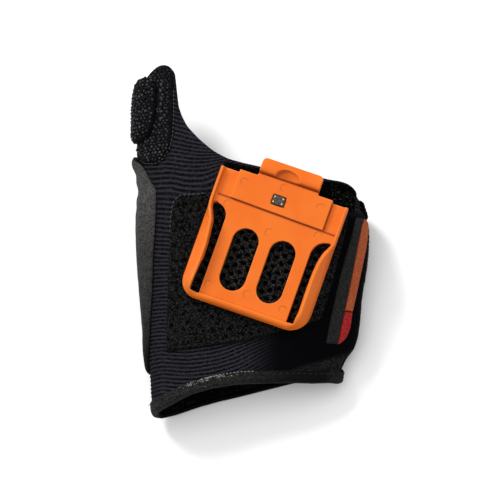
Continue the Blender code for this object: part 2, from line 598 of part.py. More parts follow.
def contacts(place):
    pads, top = CONTACTS, RAISED_PLATE["top"]
    block = prism(box_outline(pads["x"] - pads["width"] / 2, pads["x"] + pads["width"] / 2,
                              pads["y"] - pads["depth"] / 2, pads["y"] + pads["depth"] / 2),
                  top - 1.3, top + pads["rise"], "contact_block", (0.08, 0.078, 0.075), 0.6)
    spots = [(pads["x"] + sx * pads["pin_x"], pads["y"] + sy * pads["pin_y"])
             for sy in (1, -1) for sx in (-1, 1)]
    cut(block, [prism(arc(x, y, pads["pin"] + 0.2, 0, 330, 12), top - 0.6, top + 3)
                for x, y in spots])
    pieces = [block]
    for k, (x, y) in enumerate(spots):
        pieces.append(prism(arc(x, y, pads["pin"], 0, 330, 12), top - 0.4, top + pads["rise"] + 0.5,
                            f"contact_pin_{k + 1}", (0.75, 0.52, 0.20), 0.3, 1.0))
    for piece in pieces:
        piece.data.transform(place)


def settle():
    """Metres, with the origin under the middle of the glove, on the surface it lies on."""
    points = [vertex.co for thing in bpy.data.objects for vertex in thing.data.vertices]
    low = [min(point[k] for point in points) for k in range(3)]
    high = [max(point[k] for point in points) for k in range(3)]
    move = Vector((-(low[0] + high[0]) / 2, -(low[1] + high[1]) / 2, -low[2]))
    for thing in bpy.data.objects:
        thing.data.transform(Matrix.Scale(MM, 4) @ Matrix.Translation(move))


def main():
    for thing in list(bpy.data.objects):
        bpy.data.objects.remove(thing)
    hand_sleeve()
    wrist_binding()
    thumb_binding()
    dark = (0.010, 0.010, 0.010)
    panel("back_mesh_pad", MESH_PANEL, 14, 12, GAP, PAD, dark, 0.85)
    panel("knuckle_band", KNUCKLE_PANEL, 12, 4, GAP, PAD, (0.006, 0.006, 0.006), 0.95)
    panel("grip_patch", GRIP_PANEL, 10, 12, GAP, PAD, (0.015, 0.015, 0.016), 0.8)
    near, far = LABEL_LINES[0, 0], LABEL_LINES[-1, 0]
    label_strip("side_label", near, far, 1, 2, 4, 12, (0.012, 0.012, 0.012))
    label_strip("side_stripe", LABEL_END + 0.5 * GAP, far, 2, 3, 4, 10, (0.32, 0.075, 0.028))
    label_strip("side_stripe_end", near, LABEL_END - 0.5 * GAP, 2, 3, 4, 5, (0.28, 0.016, 0.016))
    trigger_pad()
    closure_edge()
    place = holder_place()
    scanner_holder(place)
    contacts(place)
    settle()


main()
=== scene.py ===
"""Fingerless glove with an index-finger trigger and an orange scanner holder, dressed for rendering."""
import math
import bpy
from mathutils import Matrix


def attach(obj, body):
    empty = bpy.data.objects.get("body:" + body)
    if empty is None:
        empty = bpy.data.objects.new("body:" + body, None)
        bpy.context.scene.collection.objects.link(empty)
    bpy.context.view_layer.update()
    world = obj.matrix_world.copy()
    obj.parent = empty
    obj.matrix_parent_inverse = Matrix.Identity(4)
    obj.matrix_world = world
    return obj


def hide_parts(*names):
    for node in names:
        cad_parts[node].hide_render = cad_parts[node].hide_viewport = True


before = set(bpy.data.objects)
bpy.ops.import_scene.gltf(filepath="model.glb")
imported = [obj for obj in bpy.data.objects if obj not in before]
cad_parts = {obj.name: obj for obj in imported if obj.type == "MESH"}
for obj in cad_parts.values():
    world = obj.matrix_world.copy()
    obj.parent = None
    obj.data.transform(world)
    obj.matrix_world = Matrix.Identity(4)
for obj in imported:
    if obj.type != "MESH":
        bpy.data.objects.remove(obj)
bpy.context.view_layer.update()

from types import SimpleNamespace as Sizes

import bmesh
import bpy
import numpy as np
from mathutils import Matrix, Vector

MM = 0.001
SHIFT = np.array([-0.6927, -61.7355, 0.0659])    # from the glove's own millimetres to the frame

# Sizes and tables follow the CAD source, in millimetres or in shares of its three sizes.
LENGTH, WIDTH, HEIGHT = 130.0, 88.0, 30.0
WALL, GAP, PAD, BINDING, LABEL, CLOSURE, TRIGGER_RISE = 2.0, 0.3, 1.2, 1.2, 0.7, 1.6, 2.2
PALM_N = 3.4                  # how square the palm's corners are
UNDER = 0.02                  # height at which the panels' undersides lie over the knit
FLAP_FOOT = 0.692 * LENGTH    # where the rings of the body end and those of the flap begin

# y, left, right, crown_x, crown_z, left_z, right_z, palm_z, left_n, right_n
SECTIONS = np.array([
    (-0.0615, -0.3960, 0.3730, -0.2045, 0.7067, 0.3000, 0.2267, 0.0533, 2.1, 1.52),
    (0.0154, -0.4120, 0.3755, -0.2045, 0.7133, 0.3167, 0.2267, 0.0533, 2.1, 1.52),
    (0.0769, -0.4170, 0.3800, -0.1875, 0.7267, 0.3500, 0.2400, 0.0533, 2.1, 1.55),
    (0.1231, -0.4220, 0.4080, -0.1591, 0.7333, 0.3833, 0.2667, 0.0500, 2.2, 1.6),
    (0.1615, -0.4270, 0.4477, -0.1250, 0.7367, 0.4067, 0.3067, 0.0333, 2.2, 1.85),
    (0.2154, -0.4295, 0.4693, -0.0795, 0.7467, 0.4167, 0.3333, 0.0000, 2.3, 2.25),
    (0.2923, -0.4386, 0.4800, -0.0227, 0.7800, 0.4333, 0.3500, 0.0000, 2.3, 2.45),
    (0.4000, -0.4523, 0.5050, 0.0227, 0.8433, 0.4500, 0.3667, 0.0000, 2.3, 2.6),
    (0.5077, -0.4591, 0.5140, 0.0455, 0.9133, 0.4667, 0.3833, 0.0000, 2.3, 2.6),
    (0.5500, -0.4580, 0.4900, 0.0400, 0.9400, 0.4750, 0.3915, 0.0000, 2.3, 2.6),
    (0.6000, -0.4568, 0.4720, 0.0341, 0.9700, 0.4833, 0.4000, 0.0000, 2.3, 2.6),
    (0.6769, -0.4614, 0.4477, -0.0341, 1.0000, 0.5000, 0.4333, 0.0000, 2.4, 2.3),
    (0.7385, -0.4591, 0.4477, -0.0909, 0.9933, 0.5167, 0.4333, 0.0000, 2.5, 2.2),
    (0.8000, -0.4545, 0.4477, -0.1364, 0.9600, 0.5167, 0.4333, 0.0000, 2.6, 2.2),
    (0.8615, -0.4534, 0.4477, -0.1591, 0.9200, 0.5167, 0.4333, 0.0000, 2.6, 2.2),
    (0.9231, -0.4500, 0.4477, -0.1818, 0.8767, 0.5167, 0.4333, 0.0000, 2.6, 2.2),
    (1.0000, -0.4432, 0.4477, -0.2045, 0.8333, 0.5167, 0.4333, 0.0000, 2.6, 2.2),
]) * np.array([LENGTH] + 3 * [WIDTH] + 4 * [HEIGHT] + [1, 1])
WRIST_EDGE = np.array([
    (-0.4318, -0.0292, -0.0292), (-0.3864, -0.0285, -0.0285), (-0.3182, -0.0154, -0.0154),
    (-0.2273, 0.0092, 0.0055), (-0.1364, 0.0262, 0.0215), (-0.0455, 0.0370, 0.0345),
    (0.0909, 0.0425, 0.0560), (0.1818, 0.0460, 0.0700), (0.2727, 0.0475, 0.0760),
    (0.3409, 0.0535, 0.0800), (0.4091, 0.0560, 0.0800)]) * np.array([WIDTH, LENGTH, LENGTH])
BACK_EDGE = np.array([
    (0.4720, 0.5820), (0.4660, 0.6030), (0.4500, 0.6140), (0.4150, 0.6190), (0.3600, 0.6200),
    (0.2045, 0.6385), (0.0727, 0.6538), (-0.0045, 0.6669), (-0.0682, 0.6808), (-0.1011, 0.6938),
    (-0.1370, 0.7092), (-0.1960, 0.7469), (-0.2460, 0.7869), (-0.2720, 0.8223), (-0.2880, 0.8538),
    (-0.2950, 0.8869), (-0.2980, 0.9346), (-0.3090, 0.9650), (-0.3380, 0.9870), (-0.3750, 0.9870),
    (-0.4100, 0.9700)]) * np.array([WIDTH, LENGTH])
PALM_EDGE = np.array([
    (158, 0.9560), (164, 0.9440), (169, 0.9177), (173, 0.8308), (176, 0.7615), (180, 0.7346),
    (188, 0.7246), (200, 0.7077), (225, 0.6615), (270, 0.6231), (315, 0.5885), (345, 0.5808),
    (360, 0.5815)]) * np.array([1, LENGTH])
THUMB_HOLE = Sizes(y=0.423 * LENGTH, z=0.28 * HEIGHT, reach=0.2385 * LENGTH,
                   up=0.147 * HEIGHT, down=0.14 * HEIGHT)
THUMB_BAND = Sizes(y=0.4115 * LENGTH, z=0.28 * HEIGHT, reach=0.3165 * LENGTH, down=0.2133 * HEIGHT)
THUMB_POWER = 2 / 2.6    # how square the thumb opening is: 2 / 2 would be a plain oval
THUMB_SEAM = np.array([
    (0.0700, 0.4900), (0.1615, 0.5700), (0.2308, 0.5800), (0.3231, 0.6300), (0.4154, 0.6800),
    (0.5000, 0.7370), (0.6154, 0.8150), (0.6769, 0.8050), (0.7308, 0.7700)]) * np.array([LENGTH, HEIGHT])
MESH_PANEL = dict(
    left=[(-0.3318, 0.1354), (-0.3352, 0.1969), (-0.3295, 0.3077), (-0.3227, 0.3985), (-0.3136, 0.5077),
          (-0.3023, 0.5654), (-0.2705, 0.5846)],
    right=[(0.3182, 0.2231), (0.3580, 0.3077), (0.4034, 0.4154), (0.4318, 0.4923), (0.4318, 0.5308)],
    lower=[(-0.3318, 0.1354), (-0.1875, 0.1431), (-0.0182, 0.1569), (0.1909, 0.1931), (0.3182, 0.2231)],
    upper=[(-0.2705, 0.5846), (-0.1830, 0.5838), (-0.0682, 0.5923), (0.0909, 0.5769), (0.2500, 0.5500),
           (0.4318, 0.5308)])
KNUCKLE_PANEL = dict(
    left=[(-0.0795, 0.6115), (-0.0795, 0.6738)],
    right=[(0.4568, 0.5338), (0.4600, 0.5920)],
    lower=[(-0.0795, 0.6115), (0.0727, 0.5846), (0.2045, 0.5631), (0.3318, 0.5462), (0.4568, 0.5338)],
    upper=[(-0.0795, 0.6754), (-0.0045, 0.6631), (0.0727, 0.6492), (0.2045, 0.6300), (0.3318, 0.6160),
           (0.4068, 0.6145), (0.4440, 0.6070), (0.4600, 0.5920)])
GRIP_PANEL = dict(
    left=[(-0.4540, 0.7123), (-0.4585, 0.7538), (-0.4489, 0.8154), (-0.4466, 0.8769), (-0.4341, 0.9281),
          (-0.4091, 0.9592)],
    right=[(-0.3400, 0.6960), (-0.3110, 0.7260), (-0.3000, 0.7692), (-0.2990, 0.8300), (-0.3010, 0.8900),
           (-0.3040, 0.9400), (-0.3160, 0.9680)],
    lower=[(-0.4540, 0.7123), (-0.4259, 0.6920), (-0.3800, 0.6830), (-0.3400, 0.6960)],
    upper=[(-0.4091, 0.9592), (-0.3750, 0.9780), (-0.3409, 0.9800), (-0.3160, 0.9680)])
LABEL_LINES = np.array([
    (0.1577, 0.3315, 0.3790, 0.3830), (0.1640, 0.3337, 0.3812, 0.3960), (0.1720, 0.3365, 0.3840, 0.4085),
    (0.1821, 0.3399, 0.3876, 0.4190), (0.1960, 0.3447, 0.3926, 0.4280), (0.2118, 0.3501, 0.3984, 0.4345),
    (0.2461, 0.3619, 0.4108, 0.4420), (0.3619, 0.4040, 0.4480, 0.4790),
    (0.4300, 0.4330, 0.4680, 0.4990), (0.4900, 0.4580, 0.4850, 0.5100), (0.5060, 0.4640, 0.4900, 0.5080),
    (0.5170, 0.4690, 0.4950, 0.5000)]) * np.array([LENGTH] + 3 * [WIDTH])
LABEL_END = 0.248 * LENGTH
TRIGGER_OUTLINE = np.array([
    (0.7560, -0.4290, 0.6667), (0.7660, -0.3960, 0.6133), (0.7923, -0.3780, 0.5867),
    (0.8308, -0.3700, 0.5733), (0.8769, -0.3670, 0.5667), (0.9154, -0.3670, 0.5867),
    (0.9385, -0.3818, 0.6267), (0.9508, -0.4045, 0.7000)]) * np.array([LENGTH, WIDTH, HEIGHT])
HOLDER_SEAT = (-25.5, 24.5, -25.3, 23.7)    # left, right, bottom and shoulder that the holder is seated by
HOLDER_SPOT, HOLDER_TURN, HOLDER_PITCH, HOLDER_ROLL = (0.0932 * WIDTH, 0.4154 * LENGTH), -20.0, 8.0, 4.5
HOLDER = Sizes(left=-25.5, right=24.1, bottom=-26.0, shoulder=23.7, corner=6.8, right_corner=8.0,
               floor=1.2, plate=2.4, rail=7.2, low_wall=4.0)
# y, how far the lip leans in
LEFT_LIP = np.array([(-20, 3.5), (-16, 3.6), (-11, 3.8), (-6, 3.7), (0, 3.1), (3.5, 2.6), (5.5, 1.7),
                     (7.5, 0.7), (9.5, 0.15), (11, 0)])
RIGHT_LIP = np.array([(-20, 2.6), (-8, 2.7), (-3.5, 2.6), (0.8, 2.2), (3, 1.75), (5, 1.15), (7, 0.6),
                      (8.5, 0.2), (9.5, 0)])
SLOT = Sizes(radius=4.9, y_low=-19.1, y_high=4.8, x=(-7.8, 6.6))
TAB = Sizes(x_low=-11.5, x_high=11.9, y_low=22.5, y_high=31.8, bottom=0.9, top=3.4, corner=1.5)
# y, z of the raised bar at the tab's end
TAB_BAR = [(26.1, 1.0), (26.1, 3.3), (26.3, 4.0), (26.8, 4.5), (27.7, 4.75), (28.9, 4.7), (30.0, 4.4),
           (30.9, 3.8), (31.5, 3.0), (31.8, 2.2), (31.8, 1.0)]
TAB_SCOOP = ((-0.6, 25.9, 6.0), (5.4, 4.6, 3.6))    # centre and radii of the finger hollow
RAISED_TOP = 3.4
CONTACTS = Sizes(x=-1.1, y=18.0, width=4.6, depth=3.4, pin_x=1.65, pin_y=0.95)
# x, y, z of the round marks of the mould's pins
MARKS = [(-15.4, 20.6, 3.4), (-0.7, 23.2, 3.4), (14.3, 20.6, 3.4), (-18.7, 11.0, 2.4), (-0.7, 5.9, 2.4),
         (16.9, 10.7, 2.4), (-15.4, -19.5, 2.4), (-0.7, -18.4, 2.4), (13.6, -19.5, 2.4)]
MARK_RADIUS = 1.45
# y, distance between the ribs of the knit there
RIB_PITCH = np.array([(-10, 1.47), (30, 1.50), (50, 1.56), (65, 1.66), (78, 1.88), (95, 1.86), (112, 1.66),
                      (130, 1.66)])
DOT_RADII = (0.28, 0.56)    # smallest and largest silicone dot


# The form of the hand, for whole arrays of places at a time

def hermite(table, at):
    """Every column of a table at places along its first one, smoothly."""
    knots, last = table[:, 0], len(table) - 1
    at = np.clip(np.asarray(at, float), knots[0], knots[-1])
    k = np.clip(np.searchsorted(knots, at) - 1, 0, last - 1)
    rows = np.arange(last + 1)
    low, high = np.maximum(rows - 1, 0), np.minimum(rows + 1, last)
    slope = (table[high] - table[low]) / (knots[high] - knots[low])[:, None]
    span = (knots[k + 1] - knots[k])[..., None]
    t = (at[..., None] - knots[k][..., None]) / span
    return ((2 * t**3 - 3 * t**2 + 1) * table[k] + (t**3 - 2 * t**2 + t) * span * slope[k]
            + (3 * t**2 - 2 * t**3) * table[k + 1] + (t**3 - t**2) * span * slope[k + 1])


def sections(y):
    """Columns of the section table at y."""
    return np.moveaxis(hermite(SECTIONS, y), -1, 0)


def bare(angle, y):
    """Outer knit surface at section angles and positions along the hand."""
    angle, y = np.broadcast_arrays(np.asarray(angle, float) % 360.0, np.asarray(y, float))
    _, left, right, crown_x, crown_z, left_z, right_z, palm_z, left_n, right_n = sections(y)
    c, d = abs(np.cos(np.radians(angle))), abs(np.sin(np.radians(angle)))
    on_right, over = (angle < 90) | (angle > 270), angle <= 180
    side_x, side_z = np.where(on_right, right, left), np.where(on_right, right_z, left_z)
    n = np.where(over, np.where(on_right, right_n, left_n), PALM_N)
    mid_x = np.where(over, crown_x, 0.5 * (left + right))
    top_z = np.where(over, crown_z, palm_z)
    return np.stack([mid_x + (side_x - mid_x) * c ** (2 / n), y,
                     side_z + (top_z - side_z) * d ** (2 / n)], axis=-1)


def normals(angle, y):
    angle, y = np.asarray(angle), np.asarray(y)
    along = bare(angle, y + 0.5) - bare(angle, y - 0.5)
    return unit(np.cross(along, bare(angle + 1.0, y) - bare(angle - 1.0, y)))


def surface(angle, y, rise=0.0):
    return bare(angle, y) + np.asarray(rise, float)[..., None] * normals(angle, y)


def angle_at_x(x, y):
    """Section angle on the back of the hand."""
    x, y = np.broadcast_arrays(np.asarray(x, float), np.asarray(y, float))
    _, left, right, crown_x, *_, left_n, right_n = sections(y)
    on_right = x >= crown_x
    share = np.where(on_right, (x - crown_x) / (right - crown_x), (crown_x - x) / (crown_x - left))
    turn = np.degrees(np.arccos(np.clip(share, 0, 0.9999) ** (np.where(on_right, right_n, left_n) / 2)))
    return np.where(on_right, turn, 180.0 - turn)


def angle_at_z(z, y, right=False):
    """Section angle at the thumb side or at the little-finger side."""
    z, y = np.broadcast_arrays(np.asarray(z, float), np.asarray(y, float))
    *_, crown_z, left_z, right_z, palm_z, left_n, right_n = sections(y)
    side_z, n = (right_z, right_n) if right else (left_z, left_n)
    up = np.degrees(np.arcsin(np.clip((z - side_z) / (crown_z - side_z), 0, 1) ** (n / 2)))
    down = -np.degrees(np.arcsin(np.clip((side_z - z) / (side_z - palm_z), 0, 1) ** (PALM_N / 2)))
    angle = np.where(z >= side_z, up, down)
    return angle if right else 180.0 - angle


def smooth(low, high, value):
    t = np.clip((np.asarray(value, float) - low) / (high - low), 0, 1)
    return t * t * (3 - 2 * t)


def bell(value, middle, width):
    return np.exp(-((value - middle) / width) ** 2)


def unit(vectors):
    return vectors / np.linalg.norm(vectors, axis=-1, keepdims=True)


def lengths(line):
    """Distance of each point of a line from its start."""
    return np.concatenate([[0.0], np.cumsum(np.linalg.norm(np.diff(line, axis=0), axis=1))])


def sample(line, steps, at):
    return np.column_stack([np.interp(at, steps, column) for column in line.T])


def resample(points, count):
    points = np.asarray(points, float)
    steps = lengths(points)
    return sample(points, steps, np.linspace(0.0, steps[-1], count))


def rounded(points, count, window):
    """Resampled polyline with its corners eased and its two ends kept."""
    points = resample(points, count)
    kernel = np.hanning(2 * window + 3)[1:-1]
    kernel /= kernel.sum()
    padded = np.vstack([2 * points[0] - points[window:0:-1], points,
                        2 * points[-1] - points[-2:-window - 2:-1]])
    return np.column_stack([np.convolve(column, kernel, "valid") for column in padded.T])


def ripple(x, y, seed, size):
    """Smooth repeatable unevenness between -1 and 1."""
    total = np.zeros(np.broadcast(x, y).shape)
    for k in range(5):
        a = 2.399 * (k + 1) + seed * 1.7
        f = (1.0 + 0.55 * k) / size
        total += np.sin(f * (x * math.cos(a) + y * math.sin(a)) * 2 * math.pi + seed * 3.1 + k * 1.9)
    return total / 5


def turns(count):
    """Even turns round a circle."""
    return 2 * math.pi * np.arange(count) / count


# Meshes

def closed_mesh(name, points, faces, merge=0.0, values={}):
    """Mesh with its faces pointing out; points nearer than merge become one."""
    mesh = bpy.data.meshes.new(name)
    mesh.from_pydata(np.asarray(points, float).tolist(), [], [tuple(f) for f in faces])
    for key, value in values.items():
        attribute = mesh.attributes.new(key, "FLOAT", "POINT")
        attribute.data.foreach_set("value", np.asarray(value, np.float32).ravel())
    bm = bmesh.new()
    bm.from_mesh(mesh)
    if merge:
        bmesh.ops.remove_doubles(bm, verts=bm.verts, dist=merge)
    bmesh.ops.recalc_face_normals(bm, faces=bm.faces)
    bm.to_mesh(mesh)
    bm.free()
    return mesh


def show(name, data):
    """Object in the scene."""
    thing = bpy.data.objects.new(name, data)
    bpy.context.scene.collection.objects.link(thing)
    return thing


def settle(name, mesh, material, slot, node=None):
    """Visible piece that rides on the glove."""
    mesh.materials.clear()
    mesh.materials.append(material)
    mesh.shade_smooth()
    thing = show(name, mesh)
    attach(thing, "root")
    if node:
        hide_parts(node)
    return thing


def add(name, points, faces, material, slot=None, node=None, values={}, merge=0.0):
    """Piece from points in glove millimetres; node is what it replaces in the CAD model."""
    points = (np.asarray(points, float) + SHIFT) * MM
    points[:, 2] = np.maximum(points[:, 2], 0.0)
    return settle(name, closed_mesh(name, points, faces, merge * MM, values), material, slot, node)


def quads(index, wrap=False):
    """Faces over a grid of vertex numbers; wrap closes it across."""
    here = index if wrap else index[:, :-1]
    there = np.roll(index, -1, axis=1) if wrap else index[:, 1:]
    return np.stack([here[:-1], there[:-1], there[1:], here[1:]], axis=-1).reshape(-1, 4)


def numbers(rows, columns, start=0):
    return start + np.arange(rows * columns).reshape(rows, columns)


def capped(index):
    """Faces of a row of rings with its two ends closed."""
    return [*quads(index, wrap=True), index[0][::-1], index[-1]]


def fan(ring, tip):
    return [(a, b, tip) for a, b in zip(ring, np.roll(ring, -1))]


def tube(grid):
    """Points and faces of rings in a row that comes back to its start."""
    index = numbers(*grid.shape[:2])
    return grid.reshape(-1, 3), quads(np.vstack([index, index[:1]]), wrap=True)


def layer_mesh(angle, y, low, high):
    """Closed layer between two heights over a grid of places."""
    over, under = surface(angle, y, high), surface(angle, y, low)
    index = numbers(*angle.shape)
    below = index + index.size
    rim = np.concatenate([index[0], index[1:, -1], index[-1, -2::-1], index[-2:0:-1, 0]])
    faces = np.vstack([quads(index), quads(below)[:, ::-1],
                       quads(np.stack([rim, rim + index.size]), wrap=True)])
    return np.vstack([over.reshape(-1, 3), under.reshape(-1, 3)]), faces


def edge_distance(angle, y):
    """Distance of every grid point from the nearest side of its grid, from the left and from below."""
    points = bare(angle, y)
    across = np.linalg.norm(np.diff(points, axis=1), axis=-1)
    along = np.linalg.norm(np.diff(points, axis=0), axis=-1)
    u = np.hstack([np.zeros((len(points), 1)), np.cumsum(across, axis=1)])
    v = np.vstack([np.zeros((1, points.shape[1])), np.cumsum(along, axis=0)])
    return np.minimum(np.minimum(u, u[:, -1:] - u), np.minimum(v, v[-1:] - v)), u, v


def swell(foot, thick, edge, relief):
    """Height of a layer that rises from its foot at the rim to its thickness and relief inside."""
    return foot + thick * edge + relief * edge


def frayed(y, distance, unevenness):
    return y + 0.35 * unevenness * (1 - np.clip(distance / 1.5, 0, 1))


def round_edge(distance, width):
    """Quarter round that climbs from 0 to 1 over a width."""
    return np.sqrt(1 - (1 - np.clip(distance / width, 0, 1)) ** 2)


def panel_grid(panel, step, ease):
    """Fine grid inside the four edges of a panel: x, y, section angle and distance from the sides."""
    def facing(*names):
        edges = [np.array(panel[name]) * (WIDTH, LENGTH) for name in names]
        count = int(max(lengths(edge)[-1] for edge in edges) / step)
        return (rounded(edge, count, min(ease, count // 3)) for edge in edges)

    (left, right), (lower, upper) = facing("left", "right"), facing("lower", "upper")
    s, t = np.linspace(0, 1, len(lower))[None, :, None], np.linspace(0, 1, len(left))[:, None, None]
    corners = ((1 - s) * (1 - t) * lower[0] + s * (1 - t) * lower[-1]
               + (1 - s) * t * upper[0] + s * t * upper[-1])
    places = ((1 - t) * lower[None] + t * upper[None] + (1 - s) * left[:, None] + s * right[:, None]
              - corners)
    x, y = np.moveaxis(places, -1, 0)
    angle = angle_at_x(x, y)
    return x, y, angle, edge_distance(angle, y)[0]


def domes(spots, directions, radii, height=0.6, sides=8):
    """Small round dots standing on a surface, as one set of points and faces."""
    points, faces = [], []
    for spot, up, radius in zip(spots, directions, radii):
        side = unit(np.cross(up, (0.0, 1.0, 0.3)))
        ahead = np.cross(up, side)
        index = numbers(3, sides, len(points))
        for share, rise in ((1.0, -0.25), (0.93, 0.35), (0.62, 0.8)):
            points += [spot + radius * share * (math.cos(turn) * side + math.sin(turn) * ahead)
                       + up * rise * radius * height for turn in turns(sides)]
        faces += [*quads(index, wrap=True), *fan(index[-1], len(points)), index[0][::-1]]
        points.append(spot + up * radius * height)
    return points, faces


def threads(line, directions, length, gap, radius, sides=6):
    """Row of stitches along a line: short rounded threads that dip in at both ends."""
    steps = lengths(line)
    bow = np.sin(np.linspace(0, math.pi, 7))
    points, faces = [], []
    for first in np.arange(0.2, steps[-1] - length, length + gap):
        at = first + np.linspace(0, length, len(bow))
        up = sample(directions, steps, at)
        path = sample(line, steps, at) + up * (radius * (2.2 * bow[:, None] - 1.2))
        faces += capped(numbers(len(bow), sides, len(points)))
        for k in range(len(bow)):
            side = unit(np.cross(path[-1] - path[0], up[k]))
            size = radius * (0.55 + 0.45 * bow[k])
            points += [path[k] + size * (math.cos(t) * side + math.sin(t) * up[k]) for t in turns(sides)]
    return points, faces


# Materials

LIGHT = 1.45    # how much brighter than its own colour a flat surface shows in the studio


def tone(*rgb):
    """Surface colour that shows as this display colour under the studio's light."""
    linear = [v / 255 / 12.92 if v <= 10 else ((v / 255 + 0.055) / 1.055) ** 2.4 for v in rgb]
    return tuple(v / LIGHT for v in linear) + (1.0,)


class Paint:
    """Principled material with a few node helpers; places are in millimetres."""

    def __init__(self, name, roughness, specular, metallic=0.0):
        self.material = bpy.data.materials.new(name)
        self.material.use_nodes = True
        self.tree = self.material.node_tree
        self.shader = self.tree.nodes["Principled BSDF"]
        for key, value in (("Roughness", roughness), ("Specular IOR Level", specular),
                           ("Metallic", metallic)):
            self.shader.inputs[key].default_value = value
        place = self.node("TexCoord").outputs["Object"]
        self.place = self.on(place, "Mapping", {"Scale": (1000, 1000, 1000)})

    def node(self, kind, inputs={}, **settings):
        node = self.tree.nodes.new("ShaderNode" + kind)
        for key, value in settings.items():
            setattr(node, key, value)
        for key, value in inputs.items():
            node.inputs[key].default_value = value
        return node

    def feed(self, value, socket):
        """Sets or links a socket; three display levels are a colour, a tuple from a value on is a ramp."""
        if isinstance(value, tuple):
            value = self.ramp(*value) if isinstance(value[0], bpy.types.NodeSocket) else tone(*value)
        if isinstance(value, (int, float, tuple)):
            socket.default_value = value
        else:
            self.tree.links.new(value, socket)

    def on(self, place, kind, inputs, output=0, **settings):
        """Output of a node that reads a place."""
        node = self.node(kind, inputs, **settings)
        self.feed(place or self.place, node.inputs["Vector"])
        return node.outputs[output]

    def turned(self, degrees, scale=(1, 1, 1)):
        return self.on(None, "Mapping", {"Scale": scale, "Rotation": (0, 0, math.radians(degrees))})

    def noise(self, size, detail=3.0, rough=0.55, place=None):
        inputs = {"Scale": 1.0 / size, "Detail": detail, "Roughness": rough}
        return self.on(place, "TexNoise", inputs, "Fac")

    def cells(self, size):
        return self.on(None, "TexVoronoi", {"Scale": 1.0 / size, "Randomness": 1.0}, "Distance")

    def bands(self, size, degrees, distortion=0.0):
        inputs = {"Scale": 0.314 / size, "Distortion": distortion, "Detail": 1.0, "Detail Scale": 1.0}
        return self.on(self.turned(degrees), "TexWave", inputs, "Fac")

    def value(self, name):
        return self.node("Attribute", attribute_name=name).outputs["Fac"]

    def math(self, operation, *values):
        node = self.node("Math", operation=operation)
        for value, socket in zip(values, node.inputs):
            self.feed(value, socket)
        return node.outputs[0]

    def ramp(self, value, low, high, last=1.0, first=0.0):
        """Smooth climb from first to last while the value goes from low to high."""
        inputs = {"From Min": low, "From Max": high, "To Min": first, "To Max": last}
        node = self.node("MapRange", inputs, interpolation_type="SMOOTHSTEP")
        self.feed(value, node.inputs["Value"])
        return node.outputs[0]

    def mix(self, factor, a, b):
        node = self.node("Mix", data_type="RGBA")
        for value, k in ((factor, 0), (a, 6), (b, 7)):
            self.feed(value, node.inputs[k])
        return node.outputs[2]

    def done(self, colour, *heights, roughness=None):
        """The material with its colour and its height textures, each as (value, depth in millimetres)."""
        self.feed(colour, self.shader.inputs["Base Color"])
        if roughness:
            self.feed(roughness, self.shader.inputs["Roughness"])
        last = None
        for value, depth in heights:
            node = self.node("Bump", {"Strength": 1.0, "Distance": depth * MM})
            self.feed(value, node.inputs["Height"])
            if last:
                self.feed(last, node.inputs["Normal"])
            last = node.outputs[0]
        self.feed(last, self.shader.inputs["Normal"])
        return self.material


def knit_paint():
    p = Paint("rib_knit", 0.9, 0.02)
    wave = p.math("COSINE", p.math("MULTIPLY", p.value("phase"), 2 * math.pi))
    ridge, plain_and_shaded = p.math("MULTIPLY_ADD", wave, 0.5, 0.5), p.value("plain_and_shaded")
    loops, fuzz, grain = p.bands(0.55, 28, distortion=1.2), p.noise(0.3), p.noise(0.9, 4, 0.75)
    # painted shade in the ribs' valleys and painted highlight on their crests
    rib = p.mix((ridge, 0.20, 0.98), (8, 7, 10), (55, 54, 62))
    rib = p.mix((loops, 0.15, 0.85, 0.42), rib, (18, 17, 21))
    rib = p.mix((grain, 0.46, 0.64, 0.45), rib, (64, 63, 70))
    rib = p.mix((grain, 0.44, 0.30, 0.55), rib, (8, 8, 10))
    # where the ribs flatten, on the right of the back and round the palm, the cloth is also painted
    # darker: painted shade where the hand turns from the light
    cloth = p.mix(plain_and_shaded, rib, p.mix((fuzz, 0.35, 0.7), (3, 3, 5), (12, 12, 15)))
    cloth = p.mix(p.value("cuff"), cloth, p.mix((grain, 0.42, 0.62), (22, 22, 22), (50, 50, 49)))
    cloth = p.mix(p.value("inside"), cloth, p.mix((p.cells(1.7), 0.25, 0.5), (26, 25, 25), (3, 3, 3)))
    cloth = p.mix((p.noise(9.0, 2), 0.35, 0.7, 0.16), cloth, (14, 14, 17))
    return p.done(cloth, (loops, 0.08), (fuzz, 0.10),
                  (p.math("MULTIPLY", ridge, p.math("SUBTRACT", 1.0, plain_and_shaded)), 0.10))


def band_paint(name, low, high, fleck, far):
    p = Paint(name, 0.75, 0.06)
    grain = p.noise(0.6, 4, 0.75)
    cloth = p.mix((p.noise(2.2), 0.5, 0.7, 0.4), p.mix((grain, 0.40, 0.60), low, high), fleck)
    cloth = p.mix(p.value("shade"), cloth, p.mix((grain, 0.42, 0.62), (4, 4, 4), far))
    return p.done(cloth, (grain, 0.2), (p.cells(0.5), 0.08))


def mesh_paint():
    p = Paint("spacer_mesh", 0.9, 0.03)
    yarn, fine = p.noise(0.72, 4, 0.7, p.turned(40, (1.0, 2.0, 1.0))), p.noise(0.38, 3, 0.7)
    grain = p.math("ADD", p.math("MULTIPLY", yarn, 0.55), p.math("MULTIPLY", fine, 0.45))
    twist = p.cells(0.75)
    cloth = p.mix((grain, 0.45, 0.575), (3, 3, 3), (53, 53, 52))
    # the cloth in the holder's openings is painted lighter: painted light there
    cloth = p.mix(p.value("open"), cloth, p.mix((grain, 0.42, 0.62), (4, 4, 4), (78, 76, 74)))
    cloth = p.mix((twist, 0.42, 0.75), cloth, (6, 6, 6))
    # holes painted near black: painted shade in their depth
    return p.done(p.mix((p.value("hole"), 0.2, 0.7), cloth, (1, 1, 1)), (grain, 0.4), (twist, 0.2))


def grip_paint():
    p = Paint("grip_fabric", 0.85, 0.03)
    grain = p.noise(0.6, 4, 0.7)
    return p.done(p.mix((grain, 0.42, 0.66), (3, 3, 4), (30, 30, 33)), (grain, 0.2), (p.cells(0.55), 0.1))


